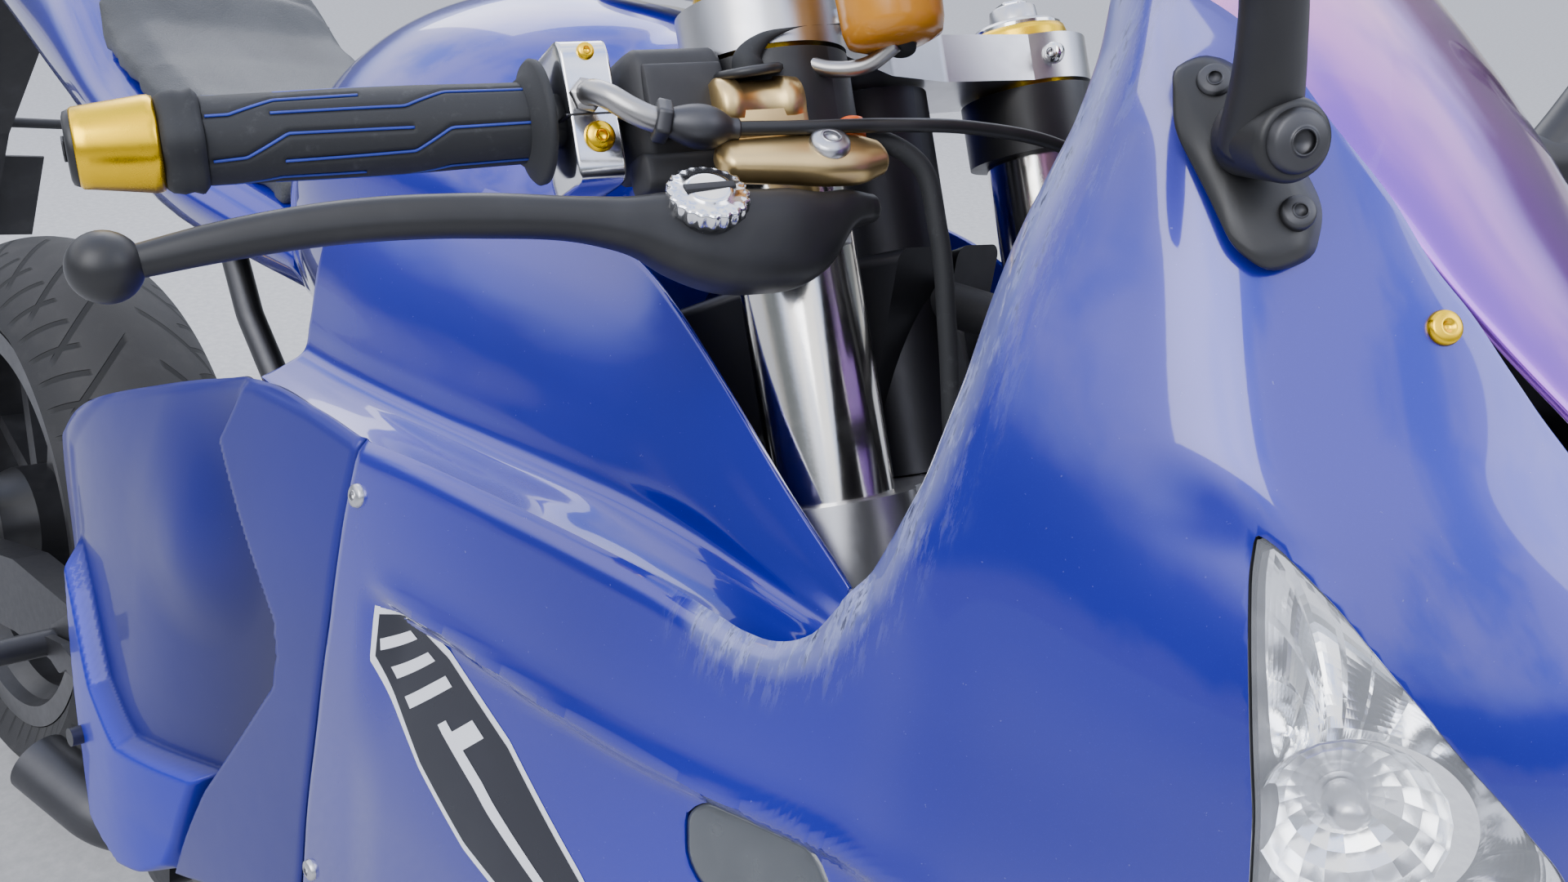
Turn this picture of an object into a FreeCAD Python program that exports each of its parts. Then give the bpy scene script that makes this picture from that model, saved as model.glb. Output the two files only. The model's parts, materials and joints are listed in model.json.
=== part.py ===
import FreeCAD, Part

import math
import os

import Sketcher
from FreeCAD import Placement, Rotation, Vector

# A full-fairing sport bike of the 600 class, leaning on its side stand.
# Three frames are used, all in millimetres:
#   bike frame: +X forward from the rear axle's line, +Y left, +Z up, floor at z = 0 when upright
#   steering frame: +Z up the steering axis, +X forward and square to it, +Y left
#   wheel frame: +Y along the axle, origin at the wheel's centre
# Each sub-part is drawn in the frame that suits it, and its Placement puts it in the row's frame.

doc = FreeCAD.newDocument("sport_bike")
sheet = doc.addObject("Spreadsheet::Sheet", "Sizes")

SIZES = [
    # alias, value, meaning
    ("wheelbase", 1375, "distance between the two axles"),
    ("rake_angle", 24, "steering axis from the vertical, degrees"),
    ("fork_offset", 33, "front axle ahead of the steering axis"),
    ("lean_angle", 10, "lean to the left on the side stand, degrees"),
    ("front_tyre_radius", 300, "120/70-17 front tyre"),
    ("front_tyre_width", 120, "front tyre, over its shoulders"),
    ("front_crown_radius", 64, "front tyre's crown arc"),
    ("front_rim_width", 89, "front rim between its flanges"),
    ("rear_tyre_radius", 315, "180/55-17 rear tyre"),
    ("rear_tyre_width", 180, "rear tyre, over its shoulders"),
    ("rear_crown_radius", 97, "rear tyre's crown arc"),
    ("rear_rim_width", 140, "rear rim between its flanges"),
    ("bead_seat_radius", 216, "17 inch bead seat"),
    ("tyre_wall", 10, "tyre carcass thickness"),
    ("spoke_pairs", 5, "spokes of each wheel"),
    ("flange_height", 11, "rim flanges above the bead seat"),
    ("flange_width", 6, "rim flanges"),
    ("front_hub_radius", 44, "front wheel's hub"),
    ("front_hub_width", 80, "front wheel's hub, its thick part"),
    ("rear_hub_radius", 62, "rear wheel's hub"),
    ("rear_hub_width", 110, "rear wheel's hub, its thick part"),
    ("front_axle_radius", 12.5, "front wheel spindle"),
    ("rear_axle_radius", 12.5, "rear wheel spindle"),
    ("axle_bore_radius", 7, "hollow of both spindles, for a stand's pin"),
    ("running_gap", 0.05, "radial clearance of every shaft in its bore"),
    ("front_disc_radius", 155, "front brake discs"),
    ("rear_disc_radius", 110, "rear brake disc"),
    ("disc_thickness", 5, "all brake discs"),
    ("front_disc_offset", 66, "front discs from the wheel's middle"),
    ("rear_disc_offset", 108, "rear disc from the wheel's middle"),
    ("disc_band", 32, "width of the discs' braking band"),
    ("disc_arms", 8, "arms of each disc's carrier"),
    ("disc_hole_radius", 3, "drilled holes of the discs"),
    ("front_carrier_radius", 24, "hole in the front discs' carriers"),
    ("rear_carrier_radius", 34, "hole in the rear disc's carrier"),
    ("fork_spacing", 210, "between the two fork legs"),
    ("lug_inner", 82, "inside of the axle lugs from the bike's middle"),
    ("lug_outer", 130, "outside of the axle lugs from the bike's middle"),
    ("fork_tube_radius", 27, "outer fork tubes"),
    ("fork_leg_radius", 21.5, "sliding fork legs"),
    ("fork_tube_bottom", 300, "lower end of the outer tubes, above the axle"),
    ("lower_clamp_height", 480, "underside of the lower clamp, above the axle"),
    ("lower_clamp_depth", 40, "lower clamp, along the fork"),
    ("stem_radius", 15, "steering stem"),
    ("stem_socket_radius", 8, "hole up the stem, for a stand's pin"),
    ("head_tube_radius", 34, "head tube's outside"),
    ("bar_height", 693, "handlebar centre line, above the axle along the fork"),
    ("clamp_above_bar", 19, "top clamp's underside above the handlebar's centre line"),
    ("top_clamp_depth", 24, "top clamp, along the fork"),
    ("tube_above_clamp", 6, "outer tubes above the top clamp"),
    ("bar_sweep", 21.3, "handlebars swept back, degrees"),
    ("bar_radius", 11, "handlebar tube"),
    ("bar_reach", 275, "from the fork tube's centre to the bar's tip"),
    ("grip_radius", 16.5, "rubber grip"),
    ("grip_start", 104, "grip flange from the fork tube's centre"),
    ("grip_end", 232, "grip's outer end from the fork tube's centre"),
    ("grip_flange_radius", 24, "grip's inner flange"),
    ("grip_flange_width", 8, "grip's inner flange"),
    ("bar_end_radius", 15.5, "bar end weight"),
    ("bar_end_length", 30, "bar end weight beyond its collar"),
    ("collar_radius", 18, "collar between grip and bar end weight"),
    ("throttle_radius", 28, "throttle cable housing"),
    ("throttle_width", 22, "throttle cable housing, along the bar"),
    ("swingarm_pivot_x", 560, "swingarm pivot ahead of the rear axle"),
    ("swingarm_pivot_z", 390, "swingarm pivot above the floor"),
    ("swingarm_pivot_radius", 25, "swingarm's pivot tube"),
    ("swingarm_arm_gap", 260, "between the insides of the arms"),
    ("swingarm_arm_wall", 30, "width of each arm"),
    ("chain_line", 112, "chain's middle from the bike's middle"),
    ("chain_width", 16, "chain over its side plates"),
    ("chain_height", 14, "side plates across the run"),
    ("rear_sprocket_radius", 113.7, "pitch radius, 45 teeth of 15.875 mm pitch"),
    ("rear_sprocket_teeth", 45, "teeth of the rear sprocket"),
    ("front_sprocket_radius", 40.4, "pitch radius, 16 teeth"),
    ("front_sprocket_x", 640, "gearbox output shaft ahead of the rear axle"),
    ("front_sprocket_z", 395, "gearbox output shaft above the floor"),
    ("sprocket_thickness", 6, "both sprockets"),
    ("sprocket_windows", 6, "lightening holes of the rear sprocket"),
    ("window_radius", 18, "lightening holes of the rear sprocket"),
    ("sprocket_bore", 40, "hole in the middle of the rear sprocket"),
    ("frame_plate_gap", 252, "between the insides of the pivot plates"),
    ("frame_plate_wall", 26, "width of each pivot plate"),
    ("shelf_height", 748, "top of the side panels, where the nose begins"),
    ("panel_wall", 4, "fairing panels"),
    ("panel_gap", 0.5, "between neighbouring fairing panels"),
    ("seat_gap", 0.2, "between a fairing panel and the post that carries it"),
    ("screen_wall", 3, "windscreen"),
    ("peg_length", 85, "footpegs"),
    ("stand_pivot_x", 590, "side stand's pivot ahead of the rear axle"),
    ("stand_pivot_y", 172, "side stand's pivot left of the middle"),
    ("stand_pivot_z", 262, "side stand's pivot above the floor"),
    ("stand_foot_x", 640, "side stand's foot ahead of the rear axle"),
    ("stand_foot_y", 290, "side stand's foot left of the middle"),
    ("stand_leg_radius", 11, "side stand's leg"),
    ("stand_foot_radius", 27, "side stand's foot plate"),
    ("spool_bore_radius", 4, "M8 holes for a paddock stand's spools"),
]
for row, (alias, value, meaning) in enumerate(SIZES, start=1):
    sheet.set(f"A{row}", alias)
    sheet.set(f"B{row}", str(value))
    sheet.set(f"C{row}", meaning)
    sheet.setAlias(f"B{row}", alias)
doc.recompute()


def size(alias):
    return float(sheet.get(alias))


ALIASES = {alias for alias, value, meaning in SIZES}


def worth(amount):
    """The number that an amount stands for: a number, or a sum of the sheet's sizes."""
    if isinstance(amount, str):
        amount = sheet.evalExpression(amount)
    return float(getattr(amount, "Value", amount))


def bind(item, prop, amount):
    """Give a property its amount, tied to the sheet where it names a size."""
    if not isinstance(amount, str):
        setattr(item, prop, amount)
        return
    words = amount.replace("(", "( ").replace(")", " )").split()
    tied = " ".join("Sizes." + word if word in ALIASES else word for word in words)
    item.setExpression(prop, tied)


def hold(sketch, kind, ends, amount):
    """Constrain a sketch by an amount, tied to the sheet where it names a size."""
    index = sketch.addConstraint(Sketcher.Constraint(kind, *ends, worth(amount)))
    if isinstance(amount, str):
        bind(sketch, f"Constraints[{index}]", amount)


def origin_part(body, role):
    return next(item for item in body.Origin.OriginFeatures if item.Role == role)


def new_sketch(body, role, name):
    sketch = body.newObject("Sketcher::SketchObject", name)
    sketch.AttachmentSupport = (origin_part(body, role), [""])
    sketch.MapMode = "FlatFace"
    return sketch


def add_outline(sketch, outline):
    """A closed outline whose corners are held by their distances from the origin."""
    first = sketch.GeometryCount
    corners = [Vector(worth(across), worth(up), 0) for across, up in outline]
    for start, end in zip(corners, corners[1:] + corners[:1]):
        sketch.addGeometry(Part.LineSegment(start, end), False)
    count = len(outline)
    for i in range(count):
        sketch.addConstraint(Sketcher.Constraint("Coincident", first + i, 2,
                                                 first + (i + 1) % count, 1))
    for i, (across, up) in enumerate(outline):
        hold(sketch, "DistanceX", (-1, 1, first + i, 1), across)
        hold(sketch, "DistanceY", (-1, 1, first + i, 1), up)


def add_circle(sketch, across, up, radius):
    """A circle held by its centre's distances and its radius."""
    index = sketch.GeometryCount
    centre = Vector(worth(across), worth(up), 0)
    sketch.addGeometry(Part.Circle(centre, Vector(0, 0, 1), worth(radius)), False)
    hold(sketch, "Radius", (index,), radius)
    hold(sketch, "DistanceX", (-1, 1, index, 3), across)
    hold(sketch, "DistanceY", (-1, 1, index, 3), up)


def new_body(label):
    body = doc.addObject("PartDesign::Body", label)
    body.Label = label
    return body


def turn_outline(body, name, outline):
    """A revolution about the axle of an outline of (radius, along the axle) corners."""
    sketch = new_sketch(body, "XY_Plane", name + "Outline")
    add_outline(sketch, outline)
    feature = body.newObject("PartDesign::Revolution", name)
    feature.Profile = sketch
    feature.ReferenceAxis = (sketch, ["V_Axis"])
    feature.Angle = 360
    doc.recompute()
    return feature


def pad_outline(body, name, outline, thickness):
    """A pad square to the axle, as thick to both sides of the body's middle plane."""
    sketch = new_sketch(body, "XZ_Plane", name + "Outline")
    add_outline(sketch, outline)
    feature = body.newObject("PartDesign::Pad", name)
    feature.Profile = sketch
    feature.Midplane = True
    bind(feature, "Length", thickness)
    doc.recompute()
    return feature


def drill(body, name, circles):
    """Holes along the axle right through the body, from (across, up, radius) circles."""
    before = body.Shape.Volume
    sketch = new_sketch(body, "XZ_Plane", name + "Circles")
    for circle in circles:
        add_circle(sketch, *circle)
    feature = body.newObject("PartDesign::Pocket", name)
    feature.Profile = sketch
    feature.Type = "ThroughAll"
    feature.Midplane = True
    doc.recompute()
    if body.Shape.Volume >= before:
        raise RuntimeError(f"{name} cut nothing")
    return feature


def repeat_round(body, name, features, count):
    """The same features all the way round the axle."""
    pattern = body.newObject("PartDesign::PolarPattern", name)
    pattern.Originals = features
    pattern.Axis = (origin_part(body, "Y_Axis"), [""])
    pattern.Angle = 360
    bind(pattern, "Occurrences", count)
    body.Tip = pattern
    doc.recompute()
    return pattern


def keep(label, node, pose):
    """Place a finished object of the document as a sub-part."""
    node.Label = label
    node.Placement = pose
    nodes[label] = node
    return node


def pair(label, half, pose):
    """A sub-part of two solids: one object and its mirror image across the bike."""
    image = doc.addObject("Part::Mirroring", label + "_image")
    image.Source = half
    image.Normal = Y_AXIS
    image.Base = ORIGIN
    both_halves = doc.addObject("Part::Compound", label)
    both_halves.Links = [half, image]
    doc.recompute()
    return keep(label, both_halves, pose)


X_AXIS = Vector(1, 0, 0)
Y_AXIS = Vector(0, 1, 0)
Z_AXIS = Vector(0, 0, 1)
ORIGIN = Vector(0, 0, 0)
nodes = {}


# Shapes that several sub-parts share


def rounded_wire(points, radius, closed):
    """Straight runs joined by tangent arcs, each arc no larger than its runs allow."""
    count = len(points)
    corners = range(count) if closed else range(1, count - 1)
    bends = {}
    for i in corners:
        here = points[i]
        back = points[i - 1] - here
        ahead = points[(i + 1) % count] - here
        half_angle = back.getAngle(ahead) / 2
        longest = 0.45 * min(back.Length, ahead.Length) * math.tan(half_angle)
        bend = min(radius, longest)
        back.normalize()
        ahead.normalize()
        middle = (back + ahead).normalize()
        reach = bend / math.tan(half_angle)
        rise = bend / math.sin(half_angle) - bend
        bends[i] = (here + back * reach, here + middle * rise, here + ahead * reach)
    edges = []
    if closed:
        last = bends[count - 1][2]
    else:
        last = points[0]
    for i in corners:
        start, middle, end = bends[i]
        edges.append(Part.LineSegment(last, start).toShape())
        edges.append(Part.Arc(start, middle, end).toShape())
        last = end
    if not closed:
        edges.append(Part.LineSegment(last, points[-1]).toShape())
    return Part.Wire(edges)


def outward(solid):
    """The solid with its faces turned outwards, whichever way its outline runs."""
    if solid.Volume < 0:
        solid.reverse()
    return solid


def prism(points, radius, along):
    """An outline swept in a straight line, with its corners rounded if a radius is given."""
    if radius:
        wire = rounded_wire(points, radius, True)
    else:
        wire = Part.makePolygon(points + points[:1])
    return outward(Part.Face(wire).extrude(along))


def tube(points, radius, bend):
    """A solid round tube along straight runs and tangent arcs."""
    path = rounded_wire([Vector(*p) for p in points], bend, False)
    start = path.Edges[0].valueAt(path.Edges[0].FirstParameter)
    heading = path.Edges[0].tangentAt(path.Edges[0].FirstParameter)
    ring = Part.Wire(Part.makeCircle(radius, start, heading))
    return path.makePipeShell([ring], True, False)


def rod(start, end, radius):
    """A round bar between two points."""
    start = Vector(*start)
    along = Vector(*end) - start
    return Part.makeCylinder(radius, along.Length, start, along)


def cross_bar(x, z, y_from, y_to, radius):
    """A round bar along Y."""
    return Part.makeCylinder(radius, y_to - y_from, Vector(x, y_from, z), Y_AXIS)


def side_plate(outline, y_from, y_to, radius=0):
    """A plate seen from the side: an outline of (x, z) points, as thick as y_from to y_to."""
    return prism([Vector(x, y_from, z) for x, z in outline], radius,
                 Vector(0, y_to - y_from, 0))


def top_plate(outline, z_from, z_to, radius=0):
    """A plate seen from above: an outline of (x, y) points."""
    return prism([Vector(x, y, z_from) for x, y in outline], radius,
                 Vector(0, 0, z_to - z_from))


def mirrored(shape):
    """The same shape on the other side of the bike."""
    return shape.mirror(ORIGIN, Y_AXIS)


def both(shape):
    """A shape and its mirror image, joined where they meet."""
    return [shape, mirrored(shape)]


def fuse(shapes):
    """One shape from several that meet."""
    first, rest = shapes[0], shapes[1:]
    if not rest:
        return first
    return first.multiFuse(rest).removeSplitter()


def ring_section(x, half_points, radius):
    """A closed section across the bike from (y, z) points of its left half, bottom to top."""
    left = [Vector(x, y, z) for y, z in half_points]
    right = [Vector(x, -y, z) for y, z in reversed(half_points)]
    points = left + right
    if radius:
        return rounded_wire(points, radius, True)
    return Part.makePolygon(points + points[:1])


def body_loft(stations, radius=0, inset=0, stretch=0):
    """A solid through sections across the bike, inset by a wall and stretched past its ends."""
    wires = []
    last = len(stations) - 1
    for i, (x, half_points) in enumerate(stations):
        shift = stretch * (1 if i == last else -1 if i == 0 else 0)
        if inset:
            low = min(z for y, z in half_points)
            high = max(z for y, z in half_points)
            inner = []
            for y, z in half_points:
                lift = inset if z == low else -inset if z == high else 0
                inner.append((y - inset, z + lift))
            half_points = inner
        wires.append(ring_section(x + shift, half_points, radius))
    return Part.makeLoft(wires, True, True)


def add(label, shape, pose):
    """A sub-part whose shape is made by the functions above, in its own frame."""
    node = doc.addObject("Part::Feature", label)
    node.Label = label
    if len(shape.Solids) == 1:
        shape = shape.Solids[0]
    pose = pose.multiply(shape.Placement)
    node.Shape = shape
    node.Placement = pose
    nodes[label] = node
    return node


def group(shapes):
    """Several solids of one node that do not touch."""
    return Part.makeCompound([solid for shape in shapes for solid in shape.Solids])


# Where the three frames lie

rake = math.radians(size("rake_angle"))
steer_x = Vector(math.cos(rake), 0, math.sin(rake))
steer_z = Vector(-math.sin(rake), 0, math.cos(rake))
front_axle_point = Vector(size("wheelbase"), 0, size("front_tyre_radius"))
rear_axle_point = Vector(0, 0, size("rear_tyre_radius"))
steer_point = front_axle_point - steer_x * size("fork_offset")
steering_in_bike = Placement(steer_point, Rotation(steer_x, Y_AXIS, steer_z, "ZXY"))


def lowest_point(pose, centre, radius, crown):
    """Height of a leaning tyre's lowest point above the floor."""
    axle = pose.Rotation.multVec(Y_AXIS)
    hub = pose.multVec(centre)
    return hub.z - (radius - crown) * math.sqrt(1 - axle.z ** 2) - crown


def parked_pose():
    """The bike frame's pose with both tyres on the floor and the bike leaning to its left."""
    pitch = 0.0
    height = 0.0
    for _ in range(8):
        turn = Rotation(X_AXIS, -size("lean_angle")).multiply(Rotation(Y_AXIS, math.degrees(pitch)))
        pose = Placement(Vector(0, 0, height), turn)
        front = lowest_point(pose, front_axle_point, size("front_tyre_radius"),
                             size("front_crown_radius"))
        rear = lowest_point(pose, rear_axle_point, size("rear_tyre_radius"),
                            size("rear_crown_radius"))
        pitch += (front - rear) / size("wheelbase")
        height -= rear
    return pose


bike = parked_pose()
steering = bike.multiply(steering_in_bike)
front_wheel = steering.multiply(Placement(Vector(size("fork_offset"), 0, 0), Rotation()))
rear_wheel = bike.multiply(Placement(rear_axle_point, Rotation()))


# Wheels, drawn about their own axles


def tyre_shape(radius, width, crown, rim_width):
    """A hollow tyre: crown arc, side walls down to the beads, and the same inside."""
    seat = size("bead_seat_radius")
    wall = size("tyre_wall")
    half = width / 2
    shoulder = radius - crown + math.sqrt(crown ** 2 - half ** 2)
    inner_crown = crown - wall
    inner_half = half - wall
    inner_shoulder = radius - crown + math.sqrt(inner_crown ** 2 - inner_half ** 2)
    rim = rim_width / 2

    def corner(r, y):
        return Vector(r, y, 0)

    edges = [
        Part.Arc(corner(shoulder, -half), corner(radius, 0), corner(shoulder, half)).toShape(),
    ]
    outline = [(shoulder, half), (seat + 12, rim + 5), (seat + 12, rim), (seat, rim),
               (seat, rim - 12), (seat + 12, rim - 6), (inner_shoulder, inner_half)]
    for start, end in zip(outline, outline[1:]):
        edges.append(Part.makeLine(corner(*start), corner(*end)))
    edges.append(Part.Arc(corner(inner_shoulder, inner_half), corner(radius - wall, 0),
                          corner(inner_shoulder, -inner_half)).toShape())
    mirrored_outline = [(r, -y) for r, y in reversed(outline)]
    for start, end in zip(mirrored_outline, mirrored_outline[1:]):
        edges.append(Part.makeLine(corner(*start), corner(*end)))
    return outward(Part.Face(Part.Wire(edges)).revolve(ORIGIN, Y_AXIS, 360))


def rim_body(label, rim_width, hub_width, hub_radius, axle_radius, left_face, right_face):
    """A cast wheel: a barrel with two flanges, and a hub with its two disc or sprocket seats."""
    body = new_body(label)
    body.AllowCompound = True
    half = f"{rim_width} / 2"
    low = f"0 - {rim_width} / 2"
    top = "bead_seat_radius + flange_height"
    turn_outline(body, "Barrel", [
        (top, half), (top, f"{half} + flange_width"),
        ("bead_seat_radius - 12", f"{half} + flange_width"), ("bead_seat_radius - 16", f"{half} - 8"),
        ("bead_seat_radius - 26", f"{half} - 26"), ("bead_seat_radius - 26", f"{low} + 26"),
        ("bead_seat_radius - 16", f"{low} + 8"), ("bead_seat_radius - 12", f"{low} - flange_width"),
        (top, f"{low} - flange_width"), (top, low), ("bead_seat_radius", low),
        ("bead_seat_radius", f"{low} + 13"), ("bead_seat_radius - 14", f"{low} + 30"),
        ("bead_seat_radius - 14", f"{half} - 30"), ("bead_seat_radius", f"{half} - 13"),
        ("bead_seat_radius", half)])
    bore = f"{axle_radius} + running_gap"
    neck = f"{hub_radius} * 0.72"
    turn_outline(body, "Hub", [
        (bore, f"0 - ({right_face})"), (bore, left_face), (neck, left_face),
        (hub_radius, f"{hub_width} / 2"), (hub_radius, f"0 - {hub_width} / 2"),
        (neck, f"0 - ({right_face})")])
    return body


def spoke_body(label, hub_radius):
    """The blades of the forked spokes as seen along the axle, thicker than the spokes."""
    body = new_body(label)
    body.AllowCompound = True
    inner = size(hub_radius) - 8
    outer = size("bead_seat_radius") - 20
    blades = []
    for name, side in (("Leading", 1), ("Trailing", -1)):
        root = math.radians(9 * side)
        tip = math.radians(19 * side)
        start = Vector(inner * math.cos(root), inner * math.sin(root), 0)
        end = Vector(outer * math.cos(tip), outer * math.sin(tip), 0)
        along = (end - start).normalize() * 10
        across = Z_AXIS.cross(along) * 0.1
        corners = []
        for reach, angle, move in (
                (f"({hub_radius} - 8)", root, across * 12 - along),
                (f"({hub_radius} - 8)", root, across * -12 - along),
                ("(bead_seat_radius - 20)", tip, across * -8 + along),
                ("(bead_seat_radius - 20)", tip, across * 8 + along)):
            corners.append((f"{reach} * {math.cos(angle):.5f} + ({move.x:.3f})",
                            f"{reach} * {math.sin(angle):.5f} + ({move.y:.3f})"))
        blades.append(pad_outline(body, name, corners, 60))
    repeat_round(body, "Blades", blades, "spoke_pairs")
    return body


def add_rim(label, hub_radius, barrel, pose):
    """A whole wheel: the barrel and hub fused with the blades cut to the spokes' taper."""
    web = new_body(label + "_web")
    turn_outline(web, "Taper", [
        (f"{hub_radius} - 8", 26), ("bead_seat_radius - 20", 15),
        ("bead_seat_radius - 20", -15), (f"{hub_radius} - 8", -26)])
    spokes = doc.addObject("Part::Common", label + "_spokes")
    spokes.Base = web
    spokes.Tool = spoke_body(label + "_blades", hub_radius)
    wheel = doc.addObject("Part::MultiFuse", label)
    wheel.Shapes = [barrel, spokes]
    doc.recompute()
    return keep(label, wheel, pose)


def disc_body(name, radius, offset, carrier):
    """A drilled brake disc: its band, its carrier's ring and arms, and the holes round it."""
    body = new_body(name)
    low = f"{offset} - disc_thickness / 2"
    high = f"{offset} + disc_thickness / 2"
    turn_outline(body, "Carrier", [(carrier, low), (f"{carrier} + 14", low),
                                   (f"{carrier} + 14", high), (carrier, high)])
    sketch = new_sketch(body, "XY_Plane", "ArmOutline")
    inner = f"{carrier} + 7"
    outer = f"{radius} - disc_band + 4"
    add_outline(sketch, [(inner, low), (outer, low), (outer, high), (inner, high)])
    arm = body.newObject("PartDesign::Pad", "Arm")
    arm.Profile = sketch
    arm.Midplane = True
    arm.Length = 12
    doc.recompute()
    repeat_round(body, "Arms", [arm], "disc_arms")
    turn_outline(body, "Band", [(f"{radius} - disc_band", low), (radius, low), (radius, high),
                                (f"{radius} - disc_band", high)])
    holes = drill(body, "Holes", [(f"{radius} - 10", 0, "disc_hole_radius")])
    repeat_round(body, "HoleRing", [holes], "disc_arms * 2")
    inner_holes = drill(body, "InnerHoles", [(f"({radius} - 21) * 0.9808",
                                              f"({radius} - 21) * 0.1951", "disc_hole_radius")])
    repeat_round(body, "InnerHoleRing", [inner_holes], "disc_arms * 2")
    return body


add("front_tyre",
    tyre_shape(size("front_tyre_radius"), size("front_tyre_width"), size("front_crown_radius"),
               size("front_rim_width")), front_wheel)
front_disc_seat = "front_disc_offset - disc_thickness / 2"
add_rim("front_rim", "front_hub_radius",
        rim_body("front_barrel", "front_rim_width", "front_hub_width", "front_hub_radius",
                 "front_axle_radius", front_disc_seat, front_disc_seat), front_wheel)
pair("front_discs", disc_body("front_disc", "front_disc_radius", "front_disc_offset",
                              "front_carrier_radius"), front_wheel)

add("rear_tyre",
    tyre_shape(size("rear_tyre_radius"), size("rear_tyre_width"), size("rear_crown_radius"),
               size("rear_rim_width")), rear_wheel)
rear_disc_seat = "rear_disc_offset - disc_thickness / 2"
add_rim("rear_rim", "rear_hub_radius",
        rim_body("rear_barrel", "rear_rim_width", "rear_hub_width", "rear_hub_radius",
                 "rear_axle_radius", "chain_line - sprocket_thickness / 2", rear_disc_seat),
        rear_wheel)
keep("rear_disc", disc_body("rear_disc", "rear_disc_radius", "0 - rear_disc_offset",
                            "rear_carrier_radius"), rear_wheel)


def sprocket_shape(pitch_radius, teeth, bore):
    """A toothed wheel whose teeth reach between the chain's rollers."""
    half = size("sprocket_thickness") / 2
    root = pitch_radius - 5.5
    tip = pitch_radius + 4.4
    points = []
    for i in range(teeth):
        middle = 360 * (i + 0.5) / teeth
        quarter = 360 / teeth / 4
        for angle, r in ((-1.3, root), (-0.35, tip), (0.35, tip), (1.3, root)):
            turn = math.radians(middle + angle * quarter)
            points.append(Vector(r * math.cos(turn), -half, r * math.sin(turn)))
    wheel = prism(points, 0, Vector(0, 2 * half, 0))
    return wheel.cut(Part.makeCylinder(bore, 6 * half, Vector(0, -3 * half, 0), Y_AXIS))


def rear_sprocket_body():
    """The rear sprocket: a blank to the teeth's roots, one tooth repeated, and its windows."""
    body = new_body("rear_sprocket")
    root = "rear_sprocket_radius - 5.5"
    low = "chain_line - sprocket_thickness / 2"
    high = "chain_line + sprocket_thickness / 2"
    turn_outline(body, "Blank", [("sprocket_bore", low), (root, low), (root, high),
                                 ("sprocket_bore", high)])
    quarter = math.pi / (2 * int(size("rear_sprocket_teeth")))
    flank = math.sin(1.3 * quarter)
    point = math.sin(0.35 * quarter)
    foot = f"({root}) * {math.cos(1.3 * quarter):.6f} - 0.6"
    tip = "rear_sprocket_radius + 4.4"
    sketch = new_sketch(body, "XZ_Plane", "ToothOutline")
    add_outline(sketch, [(foot, f"0 - ({root}) * {flank:.6f}"), (tip, f"0 - ({tip}) * {point:.6f}"),
                         (tip, f"({tip}) * {point:.6f}"), (foot, f"({root}) * {flank:.6f}")])
    sketch.AttachmentOffset = Placement(Vector(0, 0, -size("chain_line")), Rotation())
    bind(sketch, "AttachmentOffset.Base.z", "0 - chain_line")
    tooth = body.newObject("PartDesign::Pad", "Tooth")
    tooth.Profile = sketch
    tooth.Midplane = True
    bind(tooth, "Length", "sprocket_thickness")
    doc.recompute()
    repeat_round(body, "Teeth", [tooth], "rear_sprocket_teeth")
    window = drill(body, "Window", [("(rear_sprocket_radius + sprocket_bore) / 2 - 5", 0,
                                     "window_radius")])
    repeat_round(body, "Windows", [window], "sprocket_windows")
    return body


keep("rear_sprocket", rear_sprocket_body(), rear_wheel)


# Steering: fork, clamps, bars and what they carry, in the steering frame

offset = size("fork_offset")
leg_y = size("fork_spacing") / 2
tube_radius = size("fork_tube_radius")
leg_radius = size("fork_leg_radius")
tube_bottom = size("fork_tube_bottom")
upper = size("bar_height") + size("clamp_above_bar")
upper_top = upper + size("top_clamp_depth")
tube_top = upper_top + size("tube_above_clamp")
gap = size("running_gap")


def upright(x, y, z_from, z_to, radius):
    """A round bar along the steering axis."""
    return Part.makeCylinder(radius, z_to - z_from, Vector(x, y, z_from))


left_tube = upright(offset, leg_y, tube_bottom, tube_top, tube_radius)
left_tube = left_tube.cut(upright(offset, leg_y, tube_bottom - 1, tube_bottom + 160,
                                  leg_radius + gap))
cap = fuse([upright(offset, leg_y, tube_top, tube_top + 5, tube_radius - 2),
            upright(offset, leg_y, tube_top, tube_top + 14, 11)])
left_tube = fuse([left_tube, cap])
add("fork_tubes", group(both(left_tube)), steering)

lug_inner = size("lug_inner")
lug_outer = size("lug_outer")
axle_bore = size("front_axle_radius") + gap
left_leg = upright(offset, leg_y, 10, tube_bottom + 150, leg_radius)
lug = cross_bar(offset, 0, lug_inner, lug_outer, 30)
shoe = side_plate([(offset + 24, 0), (offset + 22, 70), (offset - 22, 130), (offset - 44, 130),
                   (offset - 62, 110), (offset - 40, 40), (offset - 24, 0)], 88, 116, 8)
left_leg = fuse([left_leg, lug, shoe])
left_leg = left_leg.cut(cross_bar(offset, 0, 0, 200, axle_bore))
add("fork_legs", group(both(left_leg)), steering)



def spindle_body(label, lengths):
    """A hollow spindle with collars and heads, from (from, to, radius) lengths of it."""
    body = new_body(label)
    outline = [("axle_bore_radius", lengths[0][0])]
    for start, end, radius in lengths:
        outline += [(radius, start), (radius, end)]
    outline.append(("axle_bore_radius", lengths[-1][1]))
    turn_outline(body, "Spindle", outline)
    return body


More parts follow.
